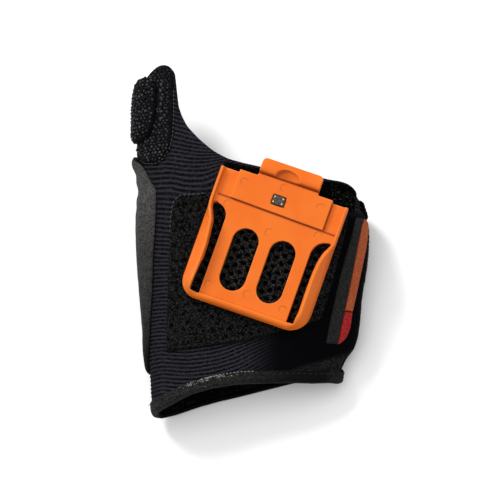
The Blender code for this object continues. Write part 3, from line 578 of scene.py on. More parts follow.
def dot_paint():
    p = Paint("grip_dots", 0.5, 0.15)
    return p.done(p.mix((p.noise(1.3, 2), 0.40, 0.62), (9, 9, 11), (70, 70, 74)), (p.noise(0.2, 2), 0.03))


def pile_paint():
    p = Paint("loop_fabric", 0.95, 0.01)
    pile, tuft = p.noise(0.5, 5, 0.75), p.cells(0.7)
    light = p.math("MULTIPLY", p.value("speck"), (p.noise(0.9), 0.48, 0.62))
    cloth = p.mix(light, p.mix((pile, 0.42, 0.64), (3, 3, 3), (46, 45, 44)), (80, 80, 78))
    return p.done(p.mix((tuft, 0.1, 0.55), cloth, (3, 3, 3)), (pile, 0.3), (tuft, 0.2))


def label_paint(name, base, light, dark):
    p = Paint(name, 0.75, 0.08)
    weave, grain = p.math("MULTIPLY", p.bands(0.32, -72), p.bands(0.36, 18)), p.noise(0.7)
    cloth = p.mix((grain, 0.4, 0.75, 0.5), p.mix((weave, 0.1, 0.7), dark, base), light)
    return p.done(cloth, (weave, 0.06), (grain, 0.05))


def plastic_paint():
    p = Paint("holder_plastic", 0.45, 0.12)
    edge = p.node("NewGeometry").outputs["Pointiness"]
    base = p.mix((p.noise(14.0, 2), 0.35, 0.65), (252, 118, 30), (255, 126, 36))
    # convex edges painted lighter and concave ones darker: painted highlight and painted shade along the
    # moulding's edges
    edges_lit_and_shaded = p.mix((edge, 0.505, 0.56, 0.6), base, (255, 158, 78))
    edges_lit_and_shaded = p.mix((edge, 0.495, 0.44, 0.35), edges_lit_and_shaded, (190, 74, 16))
    # then painted shade, darker orange, in the corners and hollows
    return p.done(p.mix(p.value("painted_shade"), edges_lit_and_shaded, (146, 46, 8)), (p.noise(0.5), 0.012),
                  roughness=(p.noise(2.5, 4), 0.3, 0.7, 0.52, 0.38))


def thread_paint(name, low, high):
    p = Paint(name, 0.6, 0.1)
    twist = p.bands(0.25, 40)
    return p.done(p.mix((twist, 0.2, 0.8), low, high), (twist, 0.04))


def metal_paint():
    p = Paint("contact_gold", 0.25, 0.5, metallic=1.0)
    return p.done(p.mix((p.noise(0.4, 2), 0.3, 0.7), (222, 176, 108), (245, 206, 140)),
                  (p.noise(0.1, 2), 0.01), roughness=(p.noise(0.15, 2), 0.3, 0.7, 0.36, 0.2))


def contact_paint():
    p = Paint("contact_plastic", 0.6, 0.15)
    grain = p.noise(0.5, 4)
    return p.done(p.mix((grain, 0.35, 0.65), (56, 54, 56), (108, 99, 96)), (grain, 0.04))


# The knit sleeve

def wrist_y(angle):
    """Outer edge of the wrist binding at a section angle."""
    x = bare(angle, 4.0)[..., 0]
    back, palm = (np.interp(x, WRIST_EDGE[:, 0], WRIST_EDGE[:, k]) for k in (1, 2))
    return palm + np.clip(0.95 + 2.0 * np.sin(np.radians(angle)), 0, 1) * (back - palm)


def far_edges():
    """Section angle and y of the knuckle edge, the flap and the palm's edge, once round the hand."""
    back = rounded(BACK_EDGE, 160, 3)
    back = np.column_stack([angle_at_x(*back.T), back[:, 1]])
    return np.vstack([[(0.0, PALM_EDGE[-1, 1])], back, PALM_EDGE])


def sleeve_angles(edge):
    """Section angles of the columns: even round the hand, closer where the flap's edge is steep."""
    dense = np.linspace(0, 360, 3601)
    steps = lengths(bare(dense, 0.42 * LENGTH))
    even = np.interp(np.arange(0, steps[-1], 1.35), steps, dense)
    flap = resample(edge[(edge[:, 0] > 88) & (edge[:, 0] < 189)], 1500)
    steps = lengths(bare(*flap.T))
    fine = np.interp(np.arange(0, steps[-1], 1.1), steps, flap[:, 0])
    kept = [0.0]
    for angle in np.sort(np.concatenate([even, fine])):
        if angle - kept[-1] > 0.33 and angle < 359.7:
            kept.append(angle)
    return np.array(kept)


def rib_field(angle, y):
    """Ribs of the knit: how many have passed, how far the ribs flatten out and the cloth takes painted
    shade, how much it is like the trim.
    """
    left, right = bare(180.0, y)[..., 0], bare(0.0, y)[..., 0]
    x = np.where(angle > 180, left + (right - left) * smooth(215, 325, angle), bare(angle, y)[..., 0])
    dense = np.linspace(-10, 130, 1401)
    count = np.concatenate([[0], np.cumsum(0.1 / np.interp(dense[1:], *RIB_PITCH.T))])
    across, high = np.clip(x + 34, -6, 60), smooth(40, 60, y)
    lean = -0.06 * across * (1 - high) - 0.20 * across * high
    lean = lean - 0.14 * np.clip(across, 0, 20) * smooth(84, 98, y)
    # the ribs turn up round the foot of the flap and sag towards the wrist
    turn = 0.75 * 3.0 * np.log1p(np.exp((x + 15) / 3.0)) + 0.9 * bell(x, -27, 5.0)
    lean = lean + bell(y, 83, 8.0) * turn
    low = 1 - smooth(14, 50, y)
    sag = 0.0125 * np.clip(x + 21, -10, 24) ** 2 + 0.62 * np.clip(x - 3, 0, 14)
    lean = lean * (1 - 0.7 * low) + low * sag + 0.22 * ripple(x, y, 3, 22.0) + 0.12 * ripple(x, y, 8, 9.0)
    phase = np.interp(y - lean, dense, count)
    over = smooth(-8, 8, 90 - abs(angle - 90))
    # the flatter cloth on the right of the back also carries the painted shade there
    plain_and_shaded = over * np.maximum(smooth(-3, 13, x) * (1 - smooth(66, 74, y)), 0.22 * smooth(-30, -35, x))
    cuff = over * smooth(-1.0, 1.0, 6.0 + 0.36 * (x - 4) - y) * smooth(0, 12, x) * 0.9
    return phase, np.maximum(plain_and_shaded, 0.6 * (1 - over)), cuff


def hand_sleeve(paint):
    edge = far_edges()
    angles = sleeve_angles(edge)
    far, near = np.interp(angles, *edge.T), wrist_y(angles) + 3 * GAP + BINDING
    end = np.minimum(far, FLAP_FOOT)

    def rings(body, flap):
        """y of the rings of the body and, above its end, of the flap."""
        t, u = np.linspace(0, 1, body)[:, None], np.linspace(0, 1, flap)[1:, None]
        return np.vstack([near + (end - near) * t, end + (far - end) * u])

    ys, inner_ys = rings(320, 110), rings(40, 12)
    a = np.broadcast_to(angles, ys.shape)
    phase, plain_and_shaded, cuff = rib_field(a, ys)
    ridge = (0.5 + 0.5 * np.cos(2 * math.pi * phase)) ** 0.9
    ridge = ridge * (1 - smooth(-12, -4, bare(a, ys)[..., 0]) * (ys < 45))
    ease = np.minimum(smooth(0, 1.2, ys - near), smooth(0, 1.6, far - ys))
    relief = 0.30 * (ridge - 0.75) * (1 - 0.9 * plain_and_shaded) * ease + 0.10 * ripple(a, ys, 5, 17.0) * ease
    outer, inner = surface(a, ys, relief), surface(angles, inner_ys, -WALL)
    # rounded hem along the far edge
    border, under = outer[-1], inner[-1]
    course = np.roll(border, -1, axis=0) - np.roll(border, 1, axis=0)
    out = unit(np.cross(normals(angles, far), course))
    out *= np.sign((out * (bare(angles, far + 1.0) - bare(angles, far))).sum(axis=1, keepdims=True))
    middle, half = 0.5 * (border + under), 0.5 * (border - under)
    hem = [middle + half * math.cos(t) + out * 0.45 * math.sin(t) for t in np.radians((36, 72, 108, 144))]

    def field(first, shown, hem_value, lining):
        """One value over the near end, the outside, the hem and the inside."""
        parts = ((first, 1), (shown, len(outer)), (hem_value, len(hem)), (lining, len(inner) - 1))
        return np.vstack([np.broadcast_to(value, (count, len(angles))) for value, count in parts])

    values = dict(phase=field(phase[0], phase, phase[-1], 0), inside=field(1, 0, 0.3, 1),
                  plain_and_shaded=field(1, plain_and_shaded, 0.3, 1), cuff=field(0, cuff, 0, 0))
    points, faces = tube(np.concatenate([inner[:1], outer, hem, inner[::-1][:-1]]))
    sleeve = add("glove_sleeve", points, faces, paint, "rib_knit", "hand_sleeve", values, merge=0.004)
    plug = [surface(*hole_rim(turns(96), share), rise) for share, rise in
            ((0.02, -6), (0.5, -6), (1.0, -6), (1.0, -2), (1.0, 2), (1.0, 6), (0.5, 6), (0.02, 6))]
    cut(sleeve, add("hole_tool", np.reshape(plug, (-1, 3)), capped(numbers(8, 96)), paint))


def hole_rim(turn, share=1.0):
    """Section angle and y on the rim of the thumb opening."""
    c, s = np.cos(turn), np.sin(turn)
    y = THUMB_HOLE.y + share * THUMB_HOLE.reach * np.copysign(abs(c) ** THUMB_POWER, c)
    height = np.where(s > 0, THUMB_HOLE.up, THUMB_HOLE.down)
    return angle_at_z(THUMB_HOLE.z + share * height * np.copysign(abs(s) ** THUMB_POWER, s), y), y


def baked(thing):
    """Mesh of an object with its modifiers applied."""
    return bpy.data.meshes.new_from_object(thing.evaluated_get(bpy.context.evaluated_depsgraph_get()))


def cut(thing, tool, operation="DIFFERENCE"):
    modifier = thing.modifiers.new("cut", "BOOLEAN")
    modifier.operation, modifier.solver, modifier.object = operation, "MANIFOLD", tool
    result = baked(thing)
    thing.modifiers.remove(modifier)
    if len(result.polygons) < 10:
        raise RuntimeError(f"{thing.name}: the cut left nothing")
    thing.data = result
    bpy.data.objects.remove(tool)


# Bindings

def wrist_binding(paint, thread, bright):
    dense = np.linspace(0, 360, 721)
    line = surface(dense, wrist_y(dense))
    steps = lengths(line)
    angles = np.interp(np.arange(0, steps[-1] - 0.3, 0.6), steps, dense)
    edge = wrist_y(angles)
    # rise over the knit and distance from the edge, from the seam round the fold to the inside
    profile = [(GAP + 0.1, 4.35), (GAP + 0.6, 4.5), (GAP + 1.0, 4.3), (GAP + 1.2, 3.9), (GAP + 1.1, 3.3),
               (GAP + 1.25, 2.6), (GAP + 1.25, 1.9), (GAP + 1.2, 1.2), (GAP + 0.95, 0.6), (GAP + 0.5, 0.2),
               (GAP - 0.2, 0.0), (-0.7, -0.05), (-1.3, 0.1), (-1.8, 0.4), (-2.0, 0.8), (-2.0, BINDING),
               (-1.0, BINDING), (0.0, BINDING), (0.1, 1.5), (0.12, 3.0)]
    wave = 0.10 * ripple(line[0, 0] + angles * 0.8, edge, 2, 21.0)
    palm_side = smooth(194, 216, angles) * (1 - smooth(326, 344, angles))
    grid = []
    for rise, along in profile:
        thin = 1 - 0.55 * np.maximum(palm_side, 0.9 * bell(angles, 180, 24) * (rise > 0.5))
        grid.append(surface(angles, edge + along, (rise + wave * (rise > 0.9)) * thin))
    grid = np.array(grid).transpose(1, 0, 2)
    inner = np.array([0.5, 0.2, 0, 0, 0.35, 0, 0, 0, 0, 0.1, 0.25, 0.5, 0.7, 0.9] + [1.0] * 6)
    x = grid[:, 5, 0]
    dark = np.maximum(0.9 * (angles > 180), 0.92 * smooth(-6, 22, x) * (1 - 0.75 * smooth(29, 31, x)))
    add("wrist_trim", *tube(grid), paint, "binding", "wrist_binding",
        dict(shade=np.maximum(inner[None], dark[:, None])))
    back = (angles > 14) & (angles < 172)
    angles, edge = angles[back], edge[back]
    up, seam = normals(angles, edge), surface(angles, edge + 3.35, GAP + 1.16)
    add("wrist_stitches", *threads(seam, up, 1.5, 0.7, 0.14), thread, "binding")
    lit = (seam[:, 0] > -17) & (seam[:, 0] < 3)
    line = surface(angles, edge + 4.45, GAP + 0.75)[lit]
    add("wrist_bright_stitches", *threads(line, up[lit], 0.9, 0.45, 0.13), bright, "binding")
    # loose light fibres round that seam
    rng = np.random.default_rng(5)
    x = rng.normal(-14.0, 5.5, 150)
    y = np.interp(x, WRIST_EDGE[:, 0], WRIST_EDGE[:, 1]) + 4.2 - abs(rng.normal(0.0, 1.1, 150))
    a = angle_at_x(x, y)
    fibres = domes(surface(a, y, GAP + 1.1), normals(a, y), rng.uniform(0.09, 0.22, 150), 0.6, 6)
    add("wrist_fibres", *fibres, bright, "binding")


def band_rim(turn):
    """Section angle and y on the outer rim of the thumb binding."""
    c, s = np.cos(turn), np.sin(turn)
    y = THUMB_BAND.y + THUMB_BAND.reach * np.copysign(abs(c) ** THUMB_POWER, c)
    up = np.interp(y, *THUMB_SEAM.T) - THUMB_BAND.z
    z = THUMB_BAND.z + np.where(s > 0, up * abs(s) ** np.where(c > 0, 0.26, 0.34),
                                   -THUMB_BAND.down * abs(s) ** 0.6)
    return angle_at_z(z, y), y


def thumb_binding(paint):
    hole, rim = hole_rim(turns(260)), band_rim(turns(260))
    z_hole, z_rim = bare(*hole)[..., 2], bare(*rim)[..., 2]
    # share of the way from the hole to the rim, and rise over the knit
    profile = [(0.0, -2.1), (-0.035, -1.4), (-0.045, -0.3), (-0.035, 0.7), (0.0, 1.35), (0.05, 1.75),
               (0.14, 1.9), (0.3, 1.9), (0.45, 1.85), (0.6, 1.85), (0.72, 1.8), (0.82, 1.72), (0.9, 1.55),
               (0.96, 1.25), (1.0, 0.8), (1.0, 0.3), (0.9, 0.2), (0.5, 0.2), (0.1, 0.2), (0.02, -0.6),
               (0.02, -1.6)]
    grid, shade = [], []
    for share, rise in profile:
        y = hole[1] + share * (rim[1] - hole[1])
        z = z_hole + share * (z_rim - z_hole)
        fold = (1.5 * smooth(87, 93, y) - 0.7 * bell(y, 82, 5)) * (rise > 0.5)
        fold = fold + 0.16 * np.sin(y * 0.9 + 2.0 * share) * smooth(62, 80, y) * (rise > 1.2)
        fold = fold + 0.10 * ripple(y, z, 4, 19.0) * (rise > 1.2)
        places = surface(angle_at_z(z, y), y, rise + fold)
        hollow = smooth(-0.1, 0.5, 0.66 * (places[..., 0] + 39.7) + places[..., 1] - 90.0)
        grid.append(places)
        shade.append(np.clip(0.95 - 0.42 * smooth(10, 50, y) - 0.36 * smooth(50, 80, y), 0, 1) + hollow
                     + 0.4 * (rise < 0.5))
    add("thumb_band", *tube(np.array(grid).transpose(1, 0, 2)), paint, "thumb_band", "thumb_binding",
        dict(shade=np.clip(np.array(shade).T, 0, 1)))


# Panels

def seam(name, x, y, rise, stitch, thread, slot):
    """Stitches along a line on the back of the hand; stitch is their length, gap and radius."""
    a = angle_at_x(x, y)
    add(name, *threads(surface(a, y, rise), normals(a, y), *stitch), thread, slot)


def under_slots(x, y):
    """1 where the pad shows through the holder's openings, fading to 0 around them."""
    turn = math.radians(HOLDER_TURN)
    dx, dy = x - HOLDER_SPOT[0], y - HOLDER_SPOT[1]
    u, v = dx * math.cos(turn) + dy * math.sin(turn), -dx * math.sin(turn) + dy * math.cos(turn)
    return (1 - smooth(21, 24, abs(u))) * (1 - smooth(8, 11, v)) * smooth(-24, -21, v)


def mesh_pad(paint, thread):
    x, y, angle, distance = panel_grid(MESH_PANEL, 0.34, 8)
    turn = math.radians(HOLDER_TURN - 4.6)
    local_x, local_y = x * math.cos(turn) + y * math.sin(turn), -x * math.sin(turn) + y * math.cos(turn)
    # holes in staggered rows
    pitch_x, pitch_y = 5.2, 1.72
    u = (local_x + 0.2 * ripple(x, y, 2, 7.0)) / pitch_x
    v = (local_y + 0.2 * ripple(x, y, 9, 8.0)) / pitch_y
    row = np.round(v)
    u = u - 0.5 * (row % 2)
    du, dv = (u - np.round(u)) * pitch_x, (v - row) * pitch_y
    reach = np.sqrt((du / 0.92) ** 2 + (dv / 0.74) ** 2) + 0.22 * ripple(x, y, 7, 2.3)
    shown = under_slots(x, y)
    open_part = np.maximum(np.clip(0.45 + 0.4 * ripple(x, y, 5, 11.0), 0.2, 0.8), shown)
    hole = (1 - smooth(0.7, 1.35, reach)) * smooth(0.6, 1.6, distance) * open_part
    edge = round_edge(distance, 1.1)
    knots = 0.16 * np.sin(2 * math.pi * local_x / 1.15 + 2 * ripple(x, y, 1, 5))
    knots = knots * np.sin(2 * math.pi * local_y / 1.17)
    high = swell(0.25, GAP + PAD - 0.35, edge, knots) - 0.9 * hole
    # inside the holder's openings the pad has more holes and takes painted light
    values = dict(hole=np.concatenate([hole.ravel(), np.ones(hole.size)]), open=np.tile(shown.ravel(), 2))
    add("mesh_pad", *layer_mesh(angle, y, UNDER, high), paint, "spacer_mesh", "back_mesh_pad", values)
    x, y = (np.concatenate([v[:, 0], v[-1, 1:]]) for v in (x, y))
    keep = (y > 62) & (x < -14)
    seam("mesh_pad_stitches", x[keep], y[keep], 0.75, (1.3, 0.5, 0.16), thread, "spacer_mesh")


def knuckle_band(paint):
    x, y, angle, distance = panel_grid(KNUCKLE_PANEL, 0.34, 3)
    edge = round_edge(distance, 0.9)
    y = frayed(y, distance, ripple(x, y, 21, 2.1))
    pile = 0.30 * ripple(x, y, 11, 1.5) + 0.22 * ripple(x, y, 13, 0.95) + 0.22 * ripple(x, y, 6, 4.0)
    speck = np.tile((smooth(30, 34, x) * (1 - smooth(74.5, 76.5, y))).ravel(), 2)
    add("knuckle_pile", *layer_mesh(angle, y, UNDER, swell(0.1, GAP + PAD - 0.1, edge, pile)), paint,
        "loop_fabric", "knuckle_band", dict(speck=speck))


def grip_patch(paint, dots, thread):
    x, y, angle, distance = panel_grid(GRIP_PANEL, 0.3, 6)
    edge = round_edge(distance, 1.0)
    high = swell(0.1, GAP + PAD - 0.1, edge, 0.06 * ripple(x, y, 4, 3.0))
    add("grip_cloth", *layer_mesh(angle, y, UNDER, high), paint, "grip_fabric", "grip_patch")

    def nearest(px, py):
        return divmod(int(np.argmin((x - px) ** 2 + (y - py) ** 2)), x.shape[1])

    rng = np.random.default_rng(7)
    chosen = []
    for k, row_y in enumerate(np.arange(0.687 * LENGTH, 0.975 * LENGTH, 1.2)):
        for row_x in np.arange(-0.455 * WIDTH, -0.315 * WIDTH, 1.38) + (0.69 if k % 2 else 0.0):
            px, py = row_x + rng.uniform(-0.25, 0.25), row_y + rng.uniform(-0.25, 0.25)
            at = nearest(px, py)
            if math.hypot(x[at] - px, y[at] - py) <= 0.35 and distance[at] >= 0.8:
                chosen.append((*at, rng.uniform(*DOT_RADII)))
    chosen += [(*nearest(-0.352 * WIDTH, py), 0.62) for py in np.arange(0.75 * LENGTH, 0.94 * LENGTH, 2.8)]
    *at, radii = zip(*chosen)
    at = tuple(np.array(at))
    spots = surface(angle[at], y[at], high[at] - 0.03)
    add("grip_dots", *domes(spots, normals(angle[at], y[at]), radii, 0.75), dots, "grip_fabric")
    x, y = (np.concatenate([v[::-1, -1], v[0, ::-1]]) for v in (x, y))
    keep = y < 0.905 * LENGTH
    seam("grip_stitches", x[keep], y[keep], 0.6, (1.2, 0.45, 0.15), thread, "grip_fabric")


def trigger_pad(paint, dots):
    along, across, margin, apart = 110, 70, 4, 1.35    # grid, its free rim, squared distance of the dots
    outline = rounded(TRIGGER_OUTLINE, along, 6)
    y = np.repeat(outline[:, :1], across, axis=1)
    first, last = angle_at_x(outline[:, 1], outline[:, 0]), angle_at_z(outline[:, 2], outline[:, 0])
    s, t = np.linspace(-1, 1, across)[None], np.linspace(-1, 1, along)[:, None]
    angle = first[:, None] + (last - first)[:, None] * (s + 1) / 2
    base = GAP + PAD + 0.1
    crown = (1 - abs(s) ** 2.6) ** 0.6 * (1 - abs(t) ** 3.4) ** 0.6
    high = base + 0.9 * np.minimum(crown * 3, 1) + (TRIGGER_RISE + 0.08 * ripple(angle, y, 8, 6.0)) * crown
    points, faces = layer_mesh(angle, y, base - 0.35, high)
    pad = add("trigger_pad_cloth", points, faces, paint, "trigger_fabric", "trigger_pad")
    over = surface(angle, y, high)
    up = unit(np.cross(np.gradient(over, axis=0), np.gradient(over, axis=1)))
    rng = np.random.default_rng(11)
    spots, ups, radii = [], [], []
    for n in rng.permutation(along * across):
        at = divmod(int(n), across)
        if not (margin <= at[0] < along - margin and margin <= at[1] < across - margin):
            continue
        if not spots or (((np.array(spots) - over[at]) ** 2).sum(axis=1) > apart).all():
            spots.append(over[at])
            ups.append(up[at])
            radii.append(rng.uniform(*DOT_RADII))
    ups = np.array(ups)
    add("trigger_dots", *domes(np.array(spots) - 0.02 * ups, ups, radii, 0.75), dots, "trigger_fabric")


def closure_edge(paint):
    heights, ys = np.linspace(0.517, 0.1, 60) * HEIGHT, np.linspace(0.535, 0.577, 34) * LENGTH
    y = np.repeat(ys[:, None], len(heights), axis=1)
    angle = angle_at_z(heights[None], y, right=True)
    distance, u, v = edge_distance(angle, y)
    edge = round_edge(distance, 0.8)
    rough = 0.22 * ripple(u, v, 9, 1.3) + 0.25 * ripple(u, v, 12, 2.6)
    y = frayed(y, distance, ripple(u, v, 15, 2.2))
    points, faces = layer_mesh(angle, y, -0.3, swell(0.05, GAP + CLOSURE - 0.7, edge, rough))
    add("closure_pile", points, faces, paint, "hook_fabric", "closure_edge",
        dict(speck=np.full(len(points), 0.3)))


def label_piece(name, low, high, first, paint, slot, node):
    """Strip between two y and between two neighbouring lines of the label."""
    ys = np.linspace(low, high, int((high - low) / 0.4))
    lines = rounded(LABEL_LINES, 160, 5)
    left, right = (np.interp(ys, lines[:, 0], lines[:, k])[:, None] for k in (first, first + 1))
    x = left + (right - left) * np.linspace(0, 1, 26)[None]
    y = np.repeat(ys[:, None], 26, axis=1)
    angle = angle_at_x(x, y)
    edge = round_edge(edge_distance(angle, y)[0], 0.45)
    rise = swell(0.12, GAP + LABEL - 0.2, edge, 0.05 * ripple(x, y, 3, 9.0))
    add(name, *layer_mesh(angle, y, 0.03, rise), paint, slot, node)


# The holder, in its own millimetres until it is placed

def arc(x, y, radius, first, last, count):
    return [(x + radius * math.cos(t), y + radius * math.sin(t))
            for t in np.radians(np.linspace(first, last, count))]


def box_outline(x_low, x_high, y_low, y_high):
    return [(x_low, y_low), (x_high, y_low), (x_high, y_high), (x_low, y_high)]


def solid(points, faces):
    return show("tool", closed_mesh("tool", points, faces, 0.002))


def between(first, last):
    """Solid between two outlines of as many points."""
    return solid([*first, *last], capped(numbers(2, len(first))))


def prism(outline, low, high):
    return between([(x, y, low) for x, y in outline], [(x, y, high) for x, y in outline])


def ball(centre, radii, rings=22, sides=44):
    points = [(math.sin(fall) * math.cos(t), math.sin(fall) * math.sin(t), -math.cos(fall))
              for fall in math.pi * np.arange(1, rings) / rings for t in turns(sides)]
    points = np.array([(0, 0, -1), *points, (0, 0, 1)]) * radii + centre
    index = numbers(rings - 1, sides, 1)
    ends = [*fan(index[0][::-1], 0), *fan(index[-1], len(points) - 1)]
    return solid(points, [*quads(index, wrap=True), *ends])


def holder_wall():
    """The lip round the holder: wide and leaning in at the sides, low and rounded at the bottom."""
    h = HOLDER
    side_y, end_y = list(np.linspace(11.0, -17.0, 49)), [h.shoulder, 18.0, 14.0]
    stations = [(h.left, y, 0.0, np.interp(y, *LEFT_LIP.T), 1 - smooth(5.5, 10.5, y))
                for y in end_y + side_y]
    for first, x, r, lean in ((180, h.left + h.corner, h.corner, LEFT_LIP[0, 1]),
                              (270, h.right - h.right_corner, h.right_corner, RIGHT_LIP[0, 1])):
        bend = zip(arc(x, h.bottom + r, r, first, first + 90, 16), np.linspace(first, first + 90, 16))
        stations += [(*p, turn - 180, lean, 1.0) for p, turn in bend]
    stations += [(h.right, y, 180.0, np.interp(y, *RIGHT_LIP.T), 1 - smooth(4.0, 9.5, y))
                 for y in side_y[::-1] + end_y[::-1]]
    low = ((0, 0), (0, 0.6), (0.6, 2.7), (1.3, 3.4), (2.4, 3.6), (2.9, 2.5), (3.0, 0.9), (3.0, 0))
    rows = []
    for x, y, inward, lean, grown in stations:
        height = h.low_wall + (h.rail - h.low_wall) * grown
        c, s = math.cos(math.radians(inward)), math.sin(math.radians(inward))
        foot = 2.3 - 0.6 * grown
        side = ((0, 0), (0, 0.6), (lean, height - 0.5), (lean + 0.4, height), (lean + 1.1, height),
                (lean + 1.3 + 0.6 * min(lean, 1), height - 1.3), (foot, 0.9), (foot, 0))
        rows.append([(x + a[0] * c, y + b[0] * s, a[1] * c * c + b[1] * s * s) for a, b in zip(side, low)])
    return solid(np.reshape(rows, (-1, 3)), capped(numbers(len(rows), len(low))))


def holder_place():
    """Matrix that lowers the turned holder onto the mesh pad until only the gap is left."""
    turned = Matrix.Translation((*HOLDER_SPOT, 0.0))
    for degrees, axis in ((HOLDER_TURN, "Z"), (HOLDER_ROLL, "Y"), (HOLDER_PITCH, "X")):
        turned = turned @ Matrix.Rotation(math.radians(degrees), 4, axis)
    left, right, bottom, shoulder = HOLDER_SEAT
    lift = 0.0
    for x in np.linspace(left, right, 14):
        for y in np.linspace(bottom, shoulder, 14):
            under = turned @ Vector((x, y, 0.0))
            cover = surface(angle_at_x(under.x, under.y), under.y, GAP + PAD)
            lift = max(lift, cover[2] - under.z)
    return Matrix.Translation((0.0, 0.0, lift + GAP)) @ turned


def placed(place, points):
    m = np.array(place)
    return np.asarray(points, float) @ m[:3, :3].T + m[:3, 3]


def holder_painted_shade(x, y, z):
    """Painted shade in the corners and hollows of the moulding and along its right outer edge, from 0 to
    1.
    """
    low = (z > 1.2) & (z < 3.0)
    step = bell(y, 13.02 - 0.022 * (x + 0.3), 0.38) * low * (abs(x) < 23.4)
    side = 0.8 * bell(x, 18.05, 0.30) * (z < 3.1) * (z > 1.2) * smooth(12.8, 13.2, y) * (y < 23.6)
    fold = bell(y, 25.75, 0.45) * (z > 2.0) * (x > TAB.x_low) * (x < TAB.x_high)
    under = 0.45 * smooth(26.9, 26.1, y) * (y > 25.4) * (z > 2.0)
    thumb = ((x + 0.6) / 4.7) ** 2 + ((y - 25.9) / 4.0) ** 2
    scoop = 0.55 * smooth(1.02, 0.85, thumb) * (y > 26.0) * smooth(4.5, -3.5, x) * (z > 2.3)
    right = HOLDER.right
    outer = 0.28 * smooth(right - 1.2, right - 0.3, x) * smooth(10.0, 7.0, y) * (y > -22)
    edge = HOLDER.left + np.interp(y, *LEFT_LIP.T) + 1.6
    lip = 0.5 * bell(x, edge, 0.45) * smooth(8.5, 5.5, y) * (z > 3.8) * (x < -10) * (y > -19)
    return np.clip(np.maximum.reduce([step, side, fold, under, scoop, lip, outer]), 0, 1)


def scanner_holder(paint, place):
    h, tab, pads = HOLDER, TAB, CONTACTS
    left, right, low, high, plate = h.left, h.right, h.bottom, h.shoulder, h.plate
    r, wide, inset = h.corner, h.right_corner, 0.5
    floor = [(left + inset, high), (left + inset, low + r),
             *arc(left + r, low + r, r - inset, 180, 270, 16),
             *arc(right - wide, low + wide, wide - inset, 270, 360, 16), (right - inset, high)]
    middle = [(-17.7, low + 1.5), (16.2, low + 1.5), (16.4, 4.4), (18.4, 7.4), (22.4, 9.0),
              (right - 1.3, 9.2), (right - 1.3, 13.0), (left + 1.3, 14.0), (left + 1.3, 10.6),
              (-22.4, 10.6), (-19.2, 8.7), (-17.7, 5.6)]
    top_plate = [(left + 0.7, 13.7), (right - 0.7, 12.7), (right - 0.7, high - 0.01),
                 (left + 0.7, high - 0.01)]
    raised = [(-18.4, 13.7), (17.8, 12.9), (17.8, 24.6), (-18.4, 24.6)]
    x0, x1, y0, y1, c = tab.x_low, tab.x_high, tab.y_low, tab.y_high, tab.corner
    tongue = [(x0, y0), (x1, y0)] + arc(x1 - c, y1 - c, c, 0, 90, 8) + arc(x0 + c, y1 - c, c, 90, 180, 8)
    bar = between([(x0, y, z) for y, z in TAB_BAR], [(x1, y, z) for y, z in TAB_BAR])
    cut(bar, prism(tongue, 0.5, 8), "INTERSECT")
    cut(bar, ball(*TAB_SCOOP))
    holder = prism(floor, 0.0, h.floor)
    for tool in (holder_wall(), prism(middle, 0.2, plate), prism(top_plate, 0.2, plate - 0.5),
                 prism(raised, 0.2, RAISED_TOP), prism(tongue, tab.bottom, tab.top), bar):
        cut(holder, tool, "UNION")
    half_x, half_y = pads.width / 2 + GAP, pads.depth / 2 + GAP
    block = box_outline(pads.x - half_x, pads.x + half_x, pads.y - half_y, pads.y + half_y)
    left_gap = [(-22.9, low + 2.7), (-17.7, low + 2.4), (-17.7, 5.3), *arc(-22.7, 5.3, 5.0, 20, 70, 12),
                (-22.5, 10.4), (-23.9, 10.0), (-23.4, 6.0)]
    right_gap = [(21.5, low + 2.7), (22.6, 3.0), (22.9, 8.9), (21.5, 9.2),
                 *arc(21.5, 4.0, 5.0, 110, 160, 12), (16.3, 4.0), (16.3, low + 2.7)]
    # the gaps' lower ends are cut straight through the lips
    left_foot = [(-21.3, low + 2.5), (-17.7, low + 2.2), (-17.7, -12.0), (-20.2, -12.0)]
    right_foot = [(16.3, low + 2.6), (19.2, low + 2.7), (19.7, -15.0), (16.3, -15.0)]
    r = SLOT.radius
    slots = [arc(x, SLOT.y_high - r, r, 0, 180, 28) + arc(x, SLOT.y_low + r, r, 180, 360, 28)
             for x in SLOT.x]
    groove = box_outline(x0 - 1, x1 + 1, 25.4, 26.1)
    for outline, bottom, top in ((left_gap, -2, plate + 0.01), (right_gap, -2, plate + 0.01),
                                 (left_foot, -2, 8), (right_foot, -2, 8), (slots[0], -2, 8),
                                 (slots[1], -2, 8), (groove, tab.top - 0.6, 8), (block, 1.8, 8)):
        cut(holder, prism(outline, bottom, top))
    # fine even surface with eased edges, as moulded plastic has
    fine = holder.modifiers.new("fine", "REMESH")
    fine.mode, fine.voxel_size = "VOXEL", 0.30
    ease = holder.modifiers.new("ease", "SMOOTH")
    ease.factor, ease.iterations = 0.5, 2
    mesh = baked(holder)
    bpy.data.objects.remove(holder)
    co = np.zeros(len(mesh.vertices) * 3)
    mesh.vertices.foreach_get("co", co)
    co = co.reshape(-1, 3)
    # painted shade in the moulding's corners and hollows, kept on each point
    painted_shade = mesh.attributes.new("painted_shade", "FLOAT", "POINT")
    painted_shade.data.foreach_set("value", holder_painted_shade(*co.T).astype(np.float32))
    mesh.vertices.foreach_set("co", ((placed(place, co) + SHIFT) * MM).ravel())
    mesh.update()
    settle("holder_shell", mesh, paint, "holder_plastic", "scanner_holder")


def holder_marks(paint, place):
    """Faint round marks left by the mould's pins."""
    points, faces = [], []
    steps, sides = 30, 6
    for n, (x, y, z) in enumerate(MARKS):
        faces += capped(numbers(steps, sides, len(points)))
        first = 35 + 25 * math.sin(2.1 * n)
        for k, turn in enumerate(np.radians(np.linspace(first, first + 215, steps))):
            thick = 0.17 * math.sin(math.pi * (k + 0.5) / steps) ** 0.5
            for roll in turns(sides):
                reach = MARK_RADIUS + thick * math.cos(roll)
                points.append((x + reach * math.cos(turn), y + reach * math.sin(turn),
                               z + 0.6 * thick * math.sin(roll)))
    # the rings also take painted shade, darker than the plastic round them
    add("holder_marks", placed(place, points), faces, paint, "holder_plastic",
        values=dict(painted_shade=np.full(len(points), 0.42)))


